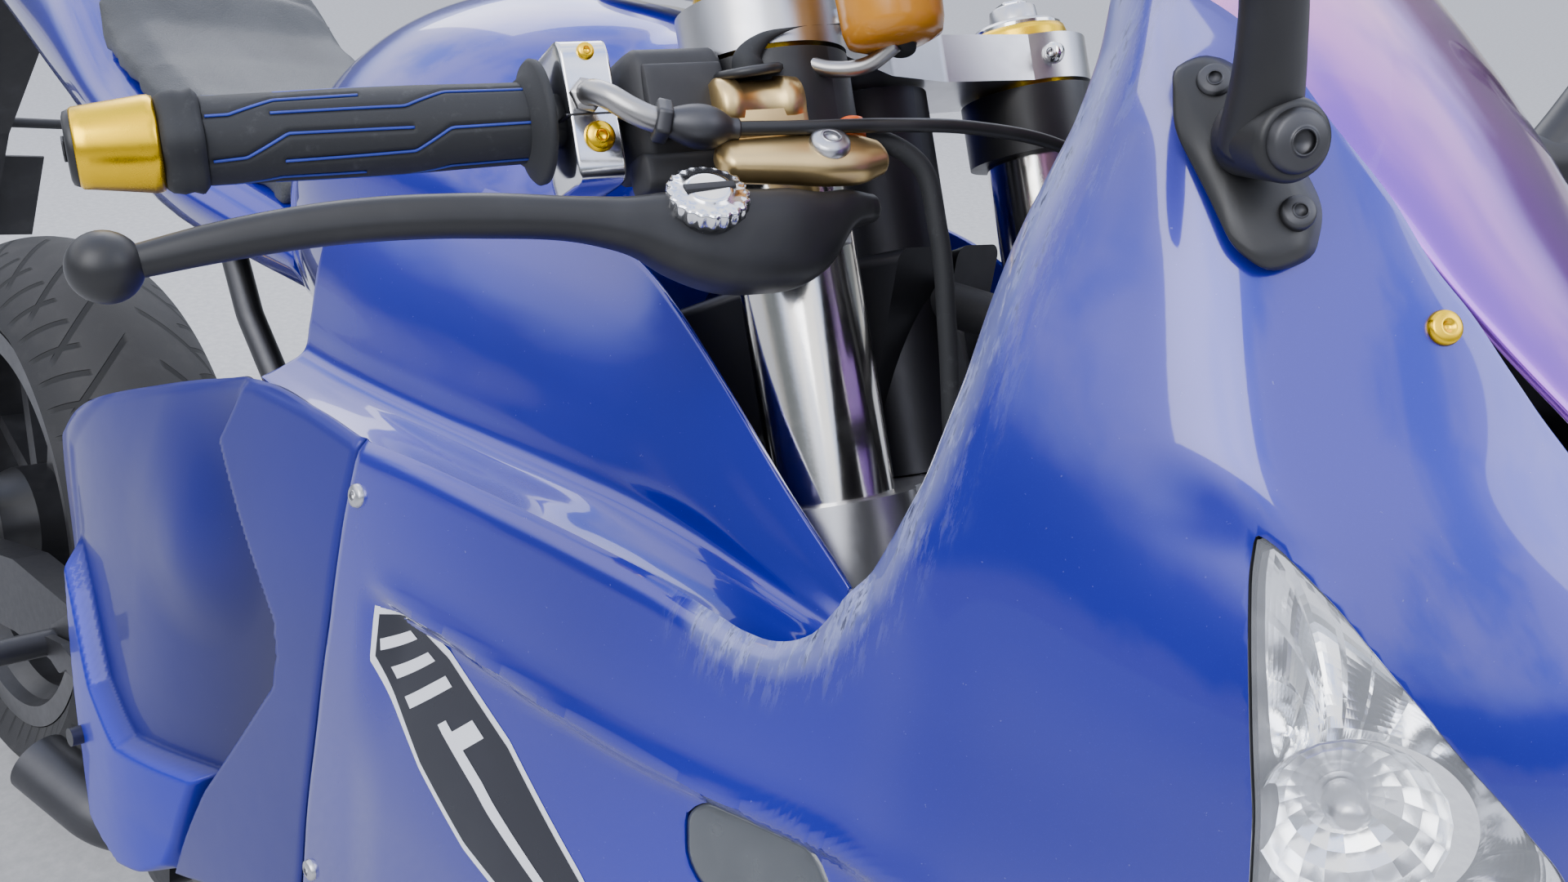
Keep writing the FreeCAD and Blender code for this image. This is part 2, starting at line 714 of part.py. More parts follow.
head_out = "lug_outer + 9"
head_in = "lug_outer + 0.2"
collar_out = "lug_inner - 0.2"
collar_in = "front_disc_offset + disc_thickness / 2 + 0.3"
keep("front_axle", spindle_body("front_axle", [
    (f"0 - ({head_out})", f"0 - ({head_in})", 18),
    (f"0 - ({head_in})", f"0 - ({collar_out})", "front_axle_radius"),
    (f"0 - ({collar_out})", f"0 - ({collar_in})", 19),
    (f"0 - ({collar_in})", collar_in, "front_axle_radius"),
    (collar_in, collar_out, 19), (collar_out, head_in, "front_axle_radius"),
    (head_in, head_out, 18)]), front_wheel)

caliper = side_plate([(offset - 62, 20), (offset - 118, 6), (offset - 148, 44),
                      (offset - 150, 100), (offset - 120, 140), (offset - 68, 128),
                      (offset - 88, 76)], 46, 88, 14)
disc_slot = Part.makeCylinder(size("front_disc_radius") + 6, size("disc_thickness") + 5,
                              Vector(offset, size("front_disc_offset")
                                     - size("disc_thickness") / 2 - 2.5, 0), Y_AXIS)
caliper = caliper.cut(disc_slot)
lug_pad = side_plate([(offset - 58, 60), (offset - 92, 60), (offset - 92, 118),
                      (offset - 58, 118)], 84, 100)
caliper = fuse([caliper, lug_pad]).cut(left_leg)
add("front_calipers", group(both(caliper)), steering)

lower = size("lower_clamp_height")
lower_top = lower + size("lower_clamp_depth")
stem_radius = size("stem_radius")
clamp_outline = [(-32, -26), (offset - 30, -leg_y), (offset + 32, -leg_y),
                 (offset + 6, -22), (offset + 6, 22), (offset + 32, leg_y),
                 (offset - 30, leg_y), (-32, 26)]
clamp_wall = 9
fork_bores = both(upright(offset, leg_y, lower - 50, upper + 100, tube_radius))


def clamp(z_from, z_to):
    """A clamp that holds both fork tubes in rings."""
    rings = both(upright(offset, leg_y, z_from, z_to, tube_radius + clamp_wall))
    plate = top_plate(clamp_outline, z_from, z_to, 12)
    return fuse([plate] + rings).cut(Part.makeCompound(fork_bores))


lower_clamp = clamp(lower, lower_top)
stem = upright(0, 0, lower, upper_top + 4, stem_radius)
stem_nut = upright(0, 0, upper_top, upper_top + 12, 20)
lower_clamp = fuse([lower_clamp, stem, stem_nut])
lower_clamp = lower_clamp.cut(upright(0, 0, lower - 10, lower + 60, size("stem_socket_radius")))
add("lower_clamp", lower_clamp, steering)

top_clamp = clamp(upper, upper_top).cut(upright(0, 0, upper - 10, upper_top + 10, stem_radius))
add("top_clamp", top_clamp, steering)

# Handlebars: drawn in a frame of their own, +Y out along the right bar, and mirrored

bar_radius = size("bar_radius")
sweep = size("bar_sweep")
bar_origin = Vector(offset, -leg_y, size("bar_height"))
bar_frame = Placement(bar_origin, Rotation(Z_AXIS, 180 - sweep))


def on_bar(shape):
    """Move a shape from the right bar's frame (+X back, +Y out, +Z up) to the steering frame."""
    return shape.transformed(bar_frame.toMatrix(), True)


def along_bar(y_from, y_to, radius, inner=0):
    """A sleeve round the bar."""
    sleeve = Part.makeCylinder(radius, y_to - y_from, Vector(0, y_from, 0), Y_AXIS)
    if inner:
        sleeve = sleeve.cut(Part.makeCylinder(inner, y_to - y_from + 2,
                                              Vector(0, y_from - 1, 0), Y_AXIS))
    return sleeve


bar_height = size("bar_height")
right_clip = fuse([on_bar(along_bar(0, size("bar_reach") - size("bar_end_length"), bar_radius)),
                   upright(offset, -leg_y, bar_height - 17, bar_height + 17, tube_radius + 9)])
right_clip = right_clip.cut(upright(offset, -leg_y, 0, 1000, tube_radius))
add("clip_ons", group(both(right_clip)), steering)



def sleeve_body(name, outline):
    """A piece turned about the right bar from (radius, distance out along the bar) corners."""
    body = new_body(name)
    turn_outline(body, "Sleeve", outline)
    return body


grip = sleeve_body("grip", [
    ("bar_radius", "grip_start"), ("grip_flange_radius", "grip_start"),
    ("grip_flange_radius", "grip_start + grip_flange_width"),
    ("grip_radius", "grip_start + grip_flange_width"), ("grip_radius", "grip_end"),
    ("bar_radius", "grip_end")])
grip.Placement = bar_frame
pair("grips", grip, steering)

weight_start = "bar_reach - bar_end_length"
weight = sleeve_body("bar_end", [
    (0, weight_start), ("bar_radius", weight_start), ("bar_radius", "grip_end"),
    ("collar_radius", "grip_end"), ("collar_radius", weight_start),
    ("bar_end_radius", weight_start), ("bar_end_radius", "bar_reach"), (0, "bar_reach")])
weight.Placement = bar_frame
pair("bar_ends", weight, steering)

throttle_start = "grip_start - throttle_width"
throttle = sleeve_body("throttle_housing", [
    ("bar_radius", throttle_start), ("throttle_radius", throttle_start),
    ("throttle_radius", "grip_start"), ("bar_radius", "grip_start")])
keep("throttle_housing", throttle, steering.multiply(bar_frame))

pod = Part.makeBox(50, 35, 44, Vector(-26, 45, -28))
pod = pod.makeFillet(8, pod.Edges)
pod = pod.cut(Part.makeCylinder(bar_radius, 60, Vector(0, 30, 0), Y_AXIS))
right_pod = on_bar(pod)
add("switch_pods", group([right_pod, mirrored(right_pod)]), steering)

# Front brake master cylinder, lever and reservoir, on the right bar


def bar_rod(start, end, radius):
    """A round bar between two points given as (out, forward, up) from the bar's inner end."""
    return rod((-start[1], start[0], start[2]), (-end[1], end[0], end[2]), radius)


def bar_block(out, forward, up, corner=0):
    """A block given by its (from, to) ranges out along the bar, forward of it and above it."""
    block = Part.makeBox(forward[1] - forward[0], out[1] - out[0], up[1] - up[0],
                         Vector(-forward[1], out[0], up[0]))
    if corner:
        block = block.makeFillet(corner, block.Edges)
    return block


def lever_shape():
    """A hand lever: knuckle, blade that thins towards the tip, and a ball end."""
    stations = [(-12, 46, -46, 9, 9), (30, 47, -46, 11, 9), (66, 48, -45, 11, 8),
                (110, 55, -42, 8, 6), (190, 54, -43, 6.5, 5.5), (262, 50, -49, 5.5, 5)]
    wires = []
    for out, forward, up, half_depth, half_height in stations:
        corners = [Vector(-forward - half_depth, out, up - half_height),
                   Vector(-forward + half_depth, out, up - half_height),
                   Vector(-forward + half_depth, out, up + half_height),
                   Vector(-forward - half_depth, out, up + half_height)]
        wires.append(rounded_wire(corners, 4, True))
    blade = Part.makeLoft(wires, True, True)
    ball = Part.makeSphere(9.5, Vector(-50, 266, -49.5))
    return fuse([blade, ball])


clamp_ring = along_bar(36.8, 44.5, 18)
body = bar_block((4, 42), (24, 52), (-24, 8), 5)
neck = bar_block((34, 44.5), (12, 34), (-12, 8))
ears = bar_block((-14, 20), (38, 60), (-36.5, -18), 4)
push_rod = bar_rod((22, 44, -20), (22, 44, -36.3), 5)
master = fuse([clamp_ring, body, neck, ears, push_rod])
master = master.cut(along_bar(-20, 60, bar_radius))
master = on_bar(master).cut(upright(offset, -leg_y, 0, 1000, tube_radius + 9.3))
add("master_cylinder", master, steering)

brake_lever = on_bar(lever_shape())
add("brake_lever", brake_lever, steering)

clutch_perch = fuse([clamp_ring, bar_block((14, 44.5), (12, 50), (-24, 2), 3), ears])
clutch_perch = clutch_perch.cut(along_bar(-20, 60, bar_radius))
clutch_perch = on_bar(clutch_perch).cut(upright(offset, -leg_y, 0, 1000, tube_radius + 9.3))
add("clutch_perch", mirrored(clutch_perch), steering)
add("clutch_lever", mirrored(brake_lever), steering)

reservoir_x = offset + 62
reservoir_y = -leg_y + 32
reservoir = fuse([upright(reservoir_x, reservoir_y, upper + 8, upper + 52, 21),
                  upright(reservoir_x, reservoir_y, upper + 52, upper + 62, 23)])
bracket = top_plate([(offset + 20, -leg_y + 4), (offset + 28, -leg_y + 50),
                     (reservoir_x + 16, reservoir_y + 10), (reservoir_x + 8, reservoir_y - 14)],
                    upper_top, upper_top + 4)
reservoir = fuse([reservoir, bracket]).cut(left_tube).cut(mirrored(left_tube))
add("fluid_reservoir", reservoir, steering)

# Front mudguard over the tyre, carried by bosses on the fork legs

guard_inner = size("front_tyre_radius") + 8
guard_outer = guard_inner + 5
guard_half = size("front_tyre_width") / 2 + 8


def guard_band(inner, outer, y_from, y_to, angle_from, angle_to):
    """Part of a ring about the front axle, between two angles from straight ahead."""
    ring = [Vector(inner, y_from, 0), Vector(outer, y_from, 0),
            Vector(outer, y_to, 0), Vector(inner, y_to, 0)]
    face = Part.Face(Part.makePolygon(ring + ring[:1]))
    face.rotate(ORIGIN, Y_AXIS, -angle_from)
    band = outward(face.revolve(ORIGIN, Y_AXIS, -(angle_to - angle_from)))
    band.translate(Vector(offset, 0, 0))
    return band


guard_top = guard_band(guard_inner, guard_outer, -guard_half, guard_half, 18, 148)
guard_side = guard_band(guard_inner - 42, guard_outer, guard_half - 3.5, guard_half, 30, 138)
guard_boss = cross_bar(offset, guard_inner - 22, guard_half - 3.5, leg_y - leg_radius + 1, 13)
guard_boss = guard_boss.cut(left_leg)
add("front_fender", fuse([guard_top] + both(guard_side) + both(guard_boss)), steering)


# Main frame, swingarm, engine and what they carry, in the bike frame

frame_gap = size("frame_plate_gap") / 2
frame_wall = size("frame_plate_wall")
pivot_x = size("swingarm_pivot_x")
pivot_z = size("swingarm_pivot_z")
pivot_bolt = 10


def spar_section(x, y, z, wide, high):
    """A rounded section of the frame spar, square to the bike."""
    corners = [Vector(x, y - wide / 2, z - high / 2), Vector(x, y + wide / 2, z - high / 2),
               Vector(x, y + wide / 2, z + high / 2), Vector(x, y - wide / 2, z + high / 2)]
    return rounded_wire(corners, 7, True)


spar = Part.makeLoft([spar_section(*station) for station in (
    (1128, 24, 830, 36, 96),
    (1080, 52, 812, 34, 90),
    (1010, 104, 762, 34, 92),
    (900, 134, 692, 28, 88),
    (720, 136, 604, 28, 92),
    (610, frame_gap + frame_wall / 2, 536, frame_wall, 100),
)], True, True)
pivot_plate = side_plate([(640, 580), (585, 575), (530, 470), (512, 400), (535, 340), (575, 240),
                          (606, 240), (604, 330), (640, 460)],
                         frame_gap, frame_gap + frame_wall, 12)
head_low = lower_top + 1
head_high = upper - 2
head_tube = Part.makeCylinder(size("head_tube_radius"), head_high - head_low,
                              steer_point + steer_z * head_low, steer_z)
head_bore = Part.makeCylinder(stem_radius + gap, 400, steer_point + steer_z * (head_low - 50),
                              steer_z)
cross_member = Part.makeBox(44, 2 * frame_gap + 4, 40, Vector(590, -frame_gap - 2, 500))
engine_top = 640
hanger = Part.makeCylinder(14, 60, Vector(935, 128, engine_top))
frame_lug = cross_bar(650, 604, 78, 128, 17)
main_frame = fuse([head_tube, cross_member] + both(spar) + both(pivot_plate)
                  + both(hanger) + both(frame_lug))
main_frame = main_frame.cut(head_bore)
main_frame = main_frame.cut(cross_bar(pivot_x, pivot_z, -300, 300, pivot_bolt + gap))

engine_half = 165
gearbox = side_plate([(592, 330), (592, 470), (700, 478), (720, 226), (650, 226), (612, 310)],
                     -frame_gap, size("chain_line") - 14, 10)
crankcase = side_plate([(700, 290), (700, 476), (780, 520), (860, 500), (950, 430), (948, 290)],
                       -engine_half, engine_half, 14)
crank_bottom = side_plate([(690, 200), (690, 330), (948, 330), (940, 260), (910, 200)],
                          -116, 116, 14)
cylinders = side_plate([(770, 470), (850, 640), (985, 640), (1000, 560), (948, 440)],
                       -150, 150, 10)
clutch_cover = cross_bar(770, 372, -engine_half - 16, -engine_half + 5, 74)
generator_cover = cross_bar(868, 360, engine_half - 5, engine_half + 16, 62)
sump = Part.makeBox(230, 200, 40, Vector(680, -100, 192))
output_shaft = cross_bar(size("front_sprocket_x"), size("front_sprocket_z"), 80,
                         size("chain_line") + 9, 15)
engine = fuse([crankcase, crank_bottom, gearbox, cylinders, clutch_cover, generator_cover,
               sump, output_shaft])
engine = engine.cut(main_frame)
front_sprocket = sprocket_shape(size("front_sprocket_radius"), 16, 14.9)
front_sprocket.translate(Vector(size("front_sprocket_x"), size("chain_line"),
                                size("front_sprocket_z")))
engine = fuse([engine, front_sprocket])
add("engine_block", engine, bike)

# Swingarm: pivot tube between the frame's plates, a bridge, and two arms to the axle

arm_inner = size("swingarm_arm_gap") / 2
arm_outer = arm_inner + size("swingarm_arm_wall")
pivot_tube = cross_bar(pivot_x, pivot_z, -frame_gap + 0.2, frame_gap - 0.2,
                       size("swingarm_pivot_radius"))
neck = side_plate([(pivot_x, pivot_z + 22), (pivot_x, pivot_z - 22), (pivot_x - 90, 366),
                   (pivot_x - 90, 416)], -frame_gap + 4, frame_gap - 4, 6)
bridge = side_plate([(498, 370), (388, 352), (388, 414), (498, 416)],
                    -arm_inner - 4, arm_inner + 4, 6)
arm = side_plate([(478, 424), (300, 412), (70, 350), (-38, 338), (-46, 296), (60, 284),
                  (300, 340), (478, 362)], arm_inner, arm_outer, 10)
rear_z = size("rear_tyre_radius")
spool_x = 52
swingarm = fuse([pivot_tube, neck, bridge] + both(arm))
shock_mount = side_plate([(424, 405), (470, 405), (460, 446), (434, 446)], -34, 34, 8)
shock_mount = shock_mount.cut(Part.makeBox(100, 46, 100, Vector(400, -23, 418)))
swingarm = fuse([swingarm, shock_mount])
swingarm = swingarm.cut(cross_bar(0, rear_z, -300, 300, size("rear_axle_radius") + gap))
swingarm = swingarm.cut(cross_bar(pivot_x, pivot_z, -300, 300, pivot_bolt + gap))
for spool in both(cross_bar(spool_x, 312, arm_outer - 18, arm_outer + 5,
                            size("spool_bore_radius"))):
    swingarm = swingarm.cut(spool)
pivot_shaft = cross_bar(pivot_x, pivot_z, -frame_gap - frame_wall - 6,
                        frame_gap + frame_wall + 6, pivot_bolt)

nut_out = "swingarm_arm_gap / 2 + swingarm_arm_wall + 12"
nut_in = "swingarm_arm_gap / 2 + swingarm_arm_wall + 0.2"
arm_face = "swingarm_arm_gap / 2 - 0.2"
left_seat = "chain_line + sprocket_thickness / 2 + 0.5"
right_seat = f"{rear_disc_seat} + 0.5"
keep("rear_axle", spindle_body("rear_axle", [
    (f"0 - ({nut_out} + 2)", f"0 - ({nut_out})", "rear_axle_radius"),
    (f"0 - ({nut_out})", f"0 - ({nut_in})", 21),
    (f"0 - ({nut_in})", f"0 - ({arm_face})", "rear_axle_radius"),
    (f"0 - ({arm_face})", f"0 - ({right_seat})", 20),
    (f"0 - ({right_seat})", left_seat, "rear_axle_radius"),
    (left_seat, arm_face, 20), (arm_face, nut_in, "rear_axle_radius"),
    (nut_in, nut_out, 21), (nut_out, f"{nut_out} + 2", "rear_axle_radius")]), rear_wheel)

disc_at = size("rear_disc_offset")
rear_caliper = side_plate([(-58, 380), (-104, 350), (-122, 300), (-104, 268), (-80, 290),
                           (-74, 330), (-44, 352)], -disc_at - 19, -disc_at + 20, 8)
rear_slot = Part.makeCylinder(size("rear_disc_radius") + 5, size("disc_thickness") + 5,
                              Vector(0, -disc_at - size("disc_thickness") / 2 - 2.5, rear_z),
                              Y_AXIS)
rear_caliper = rear_caliper.cut(rear_slot)
torque_plate = side_plate([(-70, 350), (-96, 320), (-30, 300), (24, 300), (24, 332),
                           (-30, 346)], -arm_inner + 0.2, -disc_at - 8, 6)
torque_plate = torque_plate.cut(cross_bar(0, rear_z, -300, 300, 20.2))
rear_caliper = fuse([rear_caliper, torque_plate])
add("rear_caliper", rear_caliper, bike)

# Rear shock absorber, upright between the swingarm's bridge and the frame's cross member

shock_low = Vector(447, 0, 432)
shock_high = Vector(560, 0, 590)
shock_eye = 22
shock_line = shock_high - shock_low
shock_turn = Rotation(Z_AXIS, shock_line)
coils = [Part.makeCylinder(15, shock_line.Length - 24, ORIGIN, Z_AXIS)]
coils[0].translate(Vector(0, 0, 12))
for i in range(9):
    coil = Part.makeTorus(30, 6, Vector(0, 0, 40 + 14 * i))
    coils.append(coil)
coils.append(Part.makeCylinder(38, 6, Vector(0, 0, 30)))
coils.append(Part.makeCylinder(38, 6, Vector(0, 0, 160)))
web = Part.makeBox(30, 6, 126, Vector(0, -3, 36))
coils.append(web)
shock = fuse(coils)
shock.Placement = Placement(shock_low, shock_turn)
eyes = [cross_bar(point.x, point.z, -shock_eye, shock_eye, 13) for point in (shock_low, shock_high)]
shock = fuse([shock] + eyes)
shock_tower = side_plate([(590, 540), (545, 575), (545, 610), (580, 610), (634, 560), (634, 520)],
                         -36, 36, 4)
shock_tower = shock_tower.cut(Part.makeBox(60, 2 * shock_eye + 2, 120,
                                           Vector(520, -shock_eye - 1, 540)))
shock_pins = [cross_bar(shock_low.x, shock_low.z, -33, 33, 5),
              cross_bar(shock_high.x, shock_high.z, -35, 35, 5)]
main_frame = fuse([main_frame, shock_tower])
shock = fuse([shock] + shock_pins)
swingarm = swingarm.cut(shock)
main_frame = main_frame.cut(shock)
add("main_frame", main_frame, bike)
add("swingarm", fuse([swingarm, pivot_shaft]), bike)
add("rear_shock", shock, bike)


# Chain: two loops of side plates joined by rollers between the sprockets' teeth


def chain_loop(reach):
    """The side view of the chain's run, at a distance from its pitch line."""
    front = Vector(size("front_sprocket_x"), 0, size("front_sprocket_z"))
    rear = Vector(0, 0, rear_z)
    r_front = size("front_sprocket_radius") + reach
    r_rear = size("rear_sprocket_radius") + reach
    line = front - rear
    slope = math.atan2(line.z, line.x)
    spread = math.acos((size("rear_sprocket_radius") - size("front_sprocket_radius"))
                       / line.Length)

    def at(centre, radius, angle):
        return centre + Vector(radius * math.cos(angle), 0, radius * math.sin(angle))

    top_rear = at(rear, r_rear, slope + spread)
    top_front = at(front, r_front, slope + spread)
    low_rear = at(rear, r_rear, slope - spread)
    low_front = at(front, r_front, slope - spread)
    nose = at(front, r_front, slope)
    tail = at(rear, r_rear, slope + math.pi)
    return Part.Wire([Part.makeLine(top_rear, top_front),
                      Part.Arc(top_front, nose, low_front).toShape(),
                      Part.makeLine(low_front, low_rear),
                      Part.Arc(low_rear, tail, top_rear).toShape()])


def chain_band(outer, inner, y_from, y_to):
    """A loop between two distances from the pitch line."""
    outside = Part.Face(chain_loop(outer)).extrude(Vector(0, y_to - y_from, 0))
    inside = Part.Face(chain_loop(inner)).extrude(Vector(0, y_to - y_from, 0))
    band = outside.cut(inside)
    band.translate(Vector(0, y_from, 0))
    return band


chain_half = size("chain_width") / 2
plate_half = size("chain_height") / 2
chain_mid = size("chain_line")
tooth_way = size("sprocket_thickness") / 2 + 1.2
outer_band = chain_band(plate_half, 4.8, chain_mid - chain_half, chain_mid + chain_half)
left_band = chain_band(plate_half, -plate_half, chain_mid + tooth_way, chain_mid + chain_half)
right_band = chain_band(plate_half, -plate_half, chain_mid - chain_half, chain_mid - tooth_way)
add("drive_chain", fuse([outer_band, left_band, right_band]), bike)

# Radiator with its posts, exhaust pipes and silencer

radiator = Part.makeBox(30, 300, 290, Vector(-15, -150, -145))
radiator = fuse([radiator, Part.makeBox(40, 28, 290, Vector(-20, 140, -145)),
                 Part.makeBox(40, 28, 290, Vector(-20, -168, -145))])
radiator.Placement = Placement(Vector(1046, 0, 450), Rotation(Y_AXIS, 12))
posts = both(rod((1070, 90, 580), (1040, 84, 765), 8))
posts = [post.cut(main_frame) for post in posts]
radiator = fuse([radiator] + [max(post.Solids, key=lambda solid: solid.Volume)
                              for post in posts])
add("radiator", radiator, bike)

pipes = []
port_z = 590
for y in (-105, -35, 35, 105):
    pipes.append(tube([(990, y, port_z), (1012, y, 575), (985, y, 430), (964, y * 0.8, 230),
                       (900, y * 0.6, 168), (740, y * 0.25, 168)], 18, 60))
collector = tube([(800, 0, 172), (680, 0, 182), (560, -10, 212)], 23, 60)
exhaust = fuse(pipes + [collector]).cut(engine)
exhaust = max(exhaust.Solids, key=lambda solid: solid.Volume)
silencer_outline = [(600, 182), (585, 290), (455, 300), (440, 200), (470, 158), (570, 158)]
silencer = side_plate(silencer_outline, -112, 100, 16)
outlet = tube([(520, -100, 230), (480, -150, 240), (400, -176, 262)], 27, 60)
outlet_hole = tube([(520, -100, 230), (480, -150, 240), (390, -179, 265)], 23, 60)
silencer = fuse([silencer, outlet]).cut(outlet_hole.common(
    Part.makeBox(130, 100, 200, Vector(380, -220, 160))))
exhaust = exhaust.cut(silencer)
exhaust = max(exhaust.Solids, key=lambda solid: solid.Volume)
silencer = silencer.cut(swingarm).cut(main_frame)
add("exhaust_pipes", exhaust, bike)
add("silencer", silencer, bike)


# Tank, tail, seats and what hangs from the tail

TANK = [  # x, then (y, z) of the left half, bottom to top
    (640, [(75, 750), (90, 800), (52, 862)]),
    (690, [(95, 746), (118, 815), (68, 905)]),
    (760, [(112, 744), (150, 830), (80, 945)]),
    (880, [(118, 746), (150, 850), (74, 966)]),
    (960, [(104, 766), (126, 862), (60, 958)]),
    (1000, [(60, 800), (82, 872), (44, 934)]),
]
tank = body_loft(TANK, 16)
cap_x = 900
cap_radius = 40
filler_top = 972
filler = Part.makeCylinder(cap_radius + 6, 30, Vector(cap_x, 0, filler_top - 30))
neck = Part.makeCylinder(22, 60, Vector(cap_x, 0, filler_top - 50))
tank = fuse([tank, filler]).cut(neck).cut(main_frame)
ear_y = 8
hinge_x = cap_x + cap_radius + 10
hinge_z = filler_top + 5
hinge_pin = 3
tank_ears = [Part.makeBox(16, 6, 16, Vector(hinge_x - 8, y, hinge_z - 12))
             for y in (-ear_y - 6.3, ear_y + 0.3)]
pin = cross_bar(hinge_x, hinge_z, -ear_y - 4, ear_y + 4, hinge_pin)
tank = fuse([tank] + tank_ears + [pin])

drawn_shelf = 748
drawn_floor = 110


def level(z):
    """A height drawn for a shelf at drawn_shelf, moved as the real shelf moves."""
    if z > drawn_shelf:
        return z + size("shelf_height") - drawn_shelf
    stretch = (size("shelf_height") - drawn_floor) / (drawn_shelf - drawn_floor)
    return drawn_floor + (z - drawn_floor) * stretch


def levelled(points):
    return [(across, level(z)) for across, z in points]


cover_shape = side_plate(levelled([
    (930, 752), (1060, 752), (1100, 764), (1226, 764), (1222, 780), (1178, 794), (1125, 815),
    (1080, 836), (1030, 848), (930, 850)]), 152, 158, 4)
root_low = min(level(760), 820)
root_high = max(level(840), 840)
cover_root = side_plate([(930, root_low), (985, root_low), (985, root_high), (930, root_high)],
                        100, 154, 6)
cover = fuse([cover_shape, cover_root])
tank = fuse([tank] + both(cover.cut(main_frame)))
add("fuel_tank", tank, bike)

lid = Part.makeCylinder(cap_radius, 8, Vector(cap_x, 0, filler_top + 0.3))
lid_arm = Part.makeBox(hinge_x - cap_x - 20, 2 * ear_y, 7,
                       Vector(cap_x + 20, -ear_y, filler_top + 0.8))
lid_eye = cross_bar(hinge_x, hinge_z, -ear_y, ear_y, 6)
lid = fuse([lid, lid_arm, lid_eye]).cut(cross_bar(hinge_x, hinge_z, -50, 50, hinge_pin + gap))
add("fuel_cap", lid, bike)

TAIL = [
    (-240, [(12, 938), (28, 960), (20, 982)]),
    (-180, [(25, 920), (48, 955), (34, 988)]),
    (-60, [(45, 890), (75, 935), (52, 975)]),
    (100, [(65, 850), (95, 905), (70, 952)]),
    (250, [(85, 815), (108, 870), (85, 925)]),
    (380, [(98, 785), (118, 830), (100, 862)]),
    (500, [(105, 765), (125, 800), (108, 828)]),
    (664, [(78, 742), (97, 768), (78, 792)]),
]
panel_wall = size("panel_wall")
tail_outer = body_loft(TAIL, 10)
tail_inner = body_loft(TAIL, 7, panel_wall)
tail_open = top_plate([(670, 66), (500, 88), (250, 70), (-40, 34), (-40, -34), (250, -70),
                       (500, -88), (670, -66)], 700, 900)
below_middle = side_plate([(670, 770), (500, 800), (380, 830), (250, 870), (100, 905), (-60, 935),
                           (-60, 700), (670, 700)], -100, 100)
tail = tail_outer.cut(tail_inner).cut(tail_open.common(below_middle))

rail = tube([(650, 66, 604), (560, 74, 700), (480, 68, 796), (380, 62, 822), (180, 52, 872),
             (-30, 38, 914)], 10, 80)
rail_end = cross_bar(650, 604, 56, 77.7, 17)
seat_bars = [cross_bar(x, z, -150, 150, 8).common(tail_inner) for x, z in ((390, 822), (60, 904))]
subframe = fuse(both(rail) + both(rail_end) + seat_bars)
subframe = subframe.cut(main_frame).cut(tail)
add("subframe", subframe, bike)
tail = tail.cut(main_frame).cut(tank)
add("tail_cowl", tail, bike)


def station_between(stations, x):
    """The (y, z) points of a loft at any x."""
    for (x0, low), (x1, high) in zip(stations, stations[1:]):
        if x0 <= x <= x1:
            part_way = (x - x0) / (x1 - x0)
            return [(a + (c - a) * part_way, b + (d - b) * part_way)
                    for (a, b), (c, d) in zip(low, high)]
    raise ValueError(f"no section at {x}")


def cushion(heights, narrower):
    """A pad on top of the tail, from (x, height) pairs."""
    stations = []
    for x, height in heights:
        top_y, top_z = station_between(TAIL, x)[-1]
        edge = top_y - narrower
        stations.append((x, [(edge, top_z - 12), (edge + 4, top_z + 0.5 * height),
                             (edge - 14, top_z + height)]))
    return body_loft(stations, 9)


rider_pad = cushion([(342, 54), (380, 30), (430, 24), (500, 26), (560, 30), (662, 40)], -4)
pillion_pad = cushion([(70, 10), (110, 24), (220, 26), (300, 22), (330, 12)], 8)
pads = [pad.cut(tail_outer) for pad in (rider_pad, pillion_pad)]
pads = [max(pad.Solids, key=lambda solid: solid.Volume).cut(tank) for pad in pads]
add("seats", group(pads), bike)

lamp = body_loft([(-262, [(6, 946), (14, 960), (10, 974)]),
                  (-240, [(12, 938), (28, 960), (20, 982)])], 6)
add("tail_light", lamp, bike)

hanger_arm = side_plate([(-50, 905), (-130, 905), (-300, 716), (-372, 560), (-360, 556),
                         (-284, 700), (-110, 880), (-50, 880)], -38, 38, 6)
plate_carrier = Part.makeBox(3, 180, 120, Vector(0, -90, 0))
plate_carrier.Placement = Placement(Vector(-374, 0, 558), Rotation(Y_AXIS, 24))
signal_stalks = both(cross_bar(-296, 712, 30, 120, 6))
signal_heads = both(cross_bar(-296, 712, 118, 168, 15))
rear_fender = fuse([hanger_arm, plate_carrier] + signal_stalks + signal_heads)
rear_fender = rear_fender.cut(tail_outer).cut(subframe)
rear_fender = max(rear_fender.Solids, key=lambda solid: solid.Volume)
add("rear_fender", rear_fender, bike)


# Fairing: one outer form for the sides and one for the nose, hollowed and cut into panels

SIDES = [
    (470, [(60, 200), (110, 280), (150, 400), (178, 540), (182, 660), (165, 752)]),
    (700, [(90, 148), (176, 240), (204, 360), (212, 520), (210, 660), (192, 756)]),
    (960, [(90, 128), (182, 240), (208, 360), (216, 520), (218, 660), (207, 756)]),
    (1090, [(80, 140), (176, 240), (202, 360), (212, 520), (215, 660), (203, 756)]),
    (1213, [(60, 180), (132, 262), (176, 400), (196, 540), (204, 660), (193, 756)]),
    (1330, [(50, 300), (100, 400), (130, 500), (152, 600), (170, 690), (172, 756)]),
]
SIDES = [(x, levelled(half)) for x, half in SIDES]
NOSE = [
    (1200, [(160, 700), (190, 756), (178, 880), (145, 1000)]),
    (1260, [(166, 692), (191, 768), (172, 880), (141, 990)]),
    (1330, [(160, 680), (182, 770), (168, 862), (139, 953)]),
    (1386, [(146, 676), (174, 762), (160, 842), (106, 919)]),
    (1440, [(110, 680), (142, 756), (132, 815), (68, 880)]),
    (1500, [(30, 735), (58, 768), (56, 802), (18, 846)]),
]
NOSE = [(x, levelled(half)) for x, half in NOSE]
sides_outer = body_loft(SIDES)
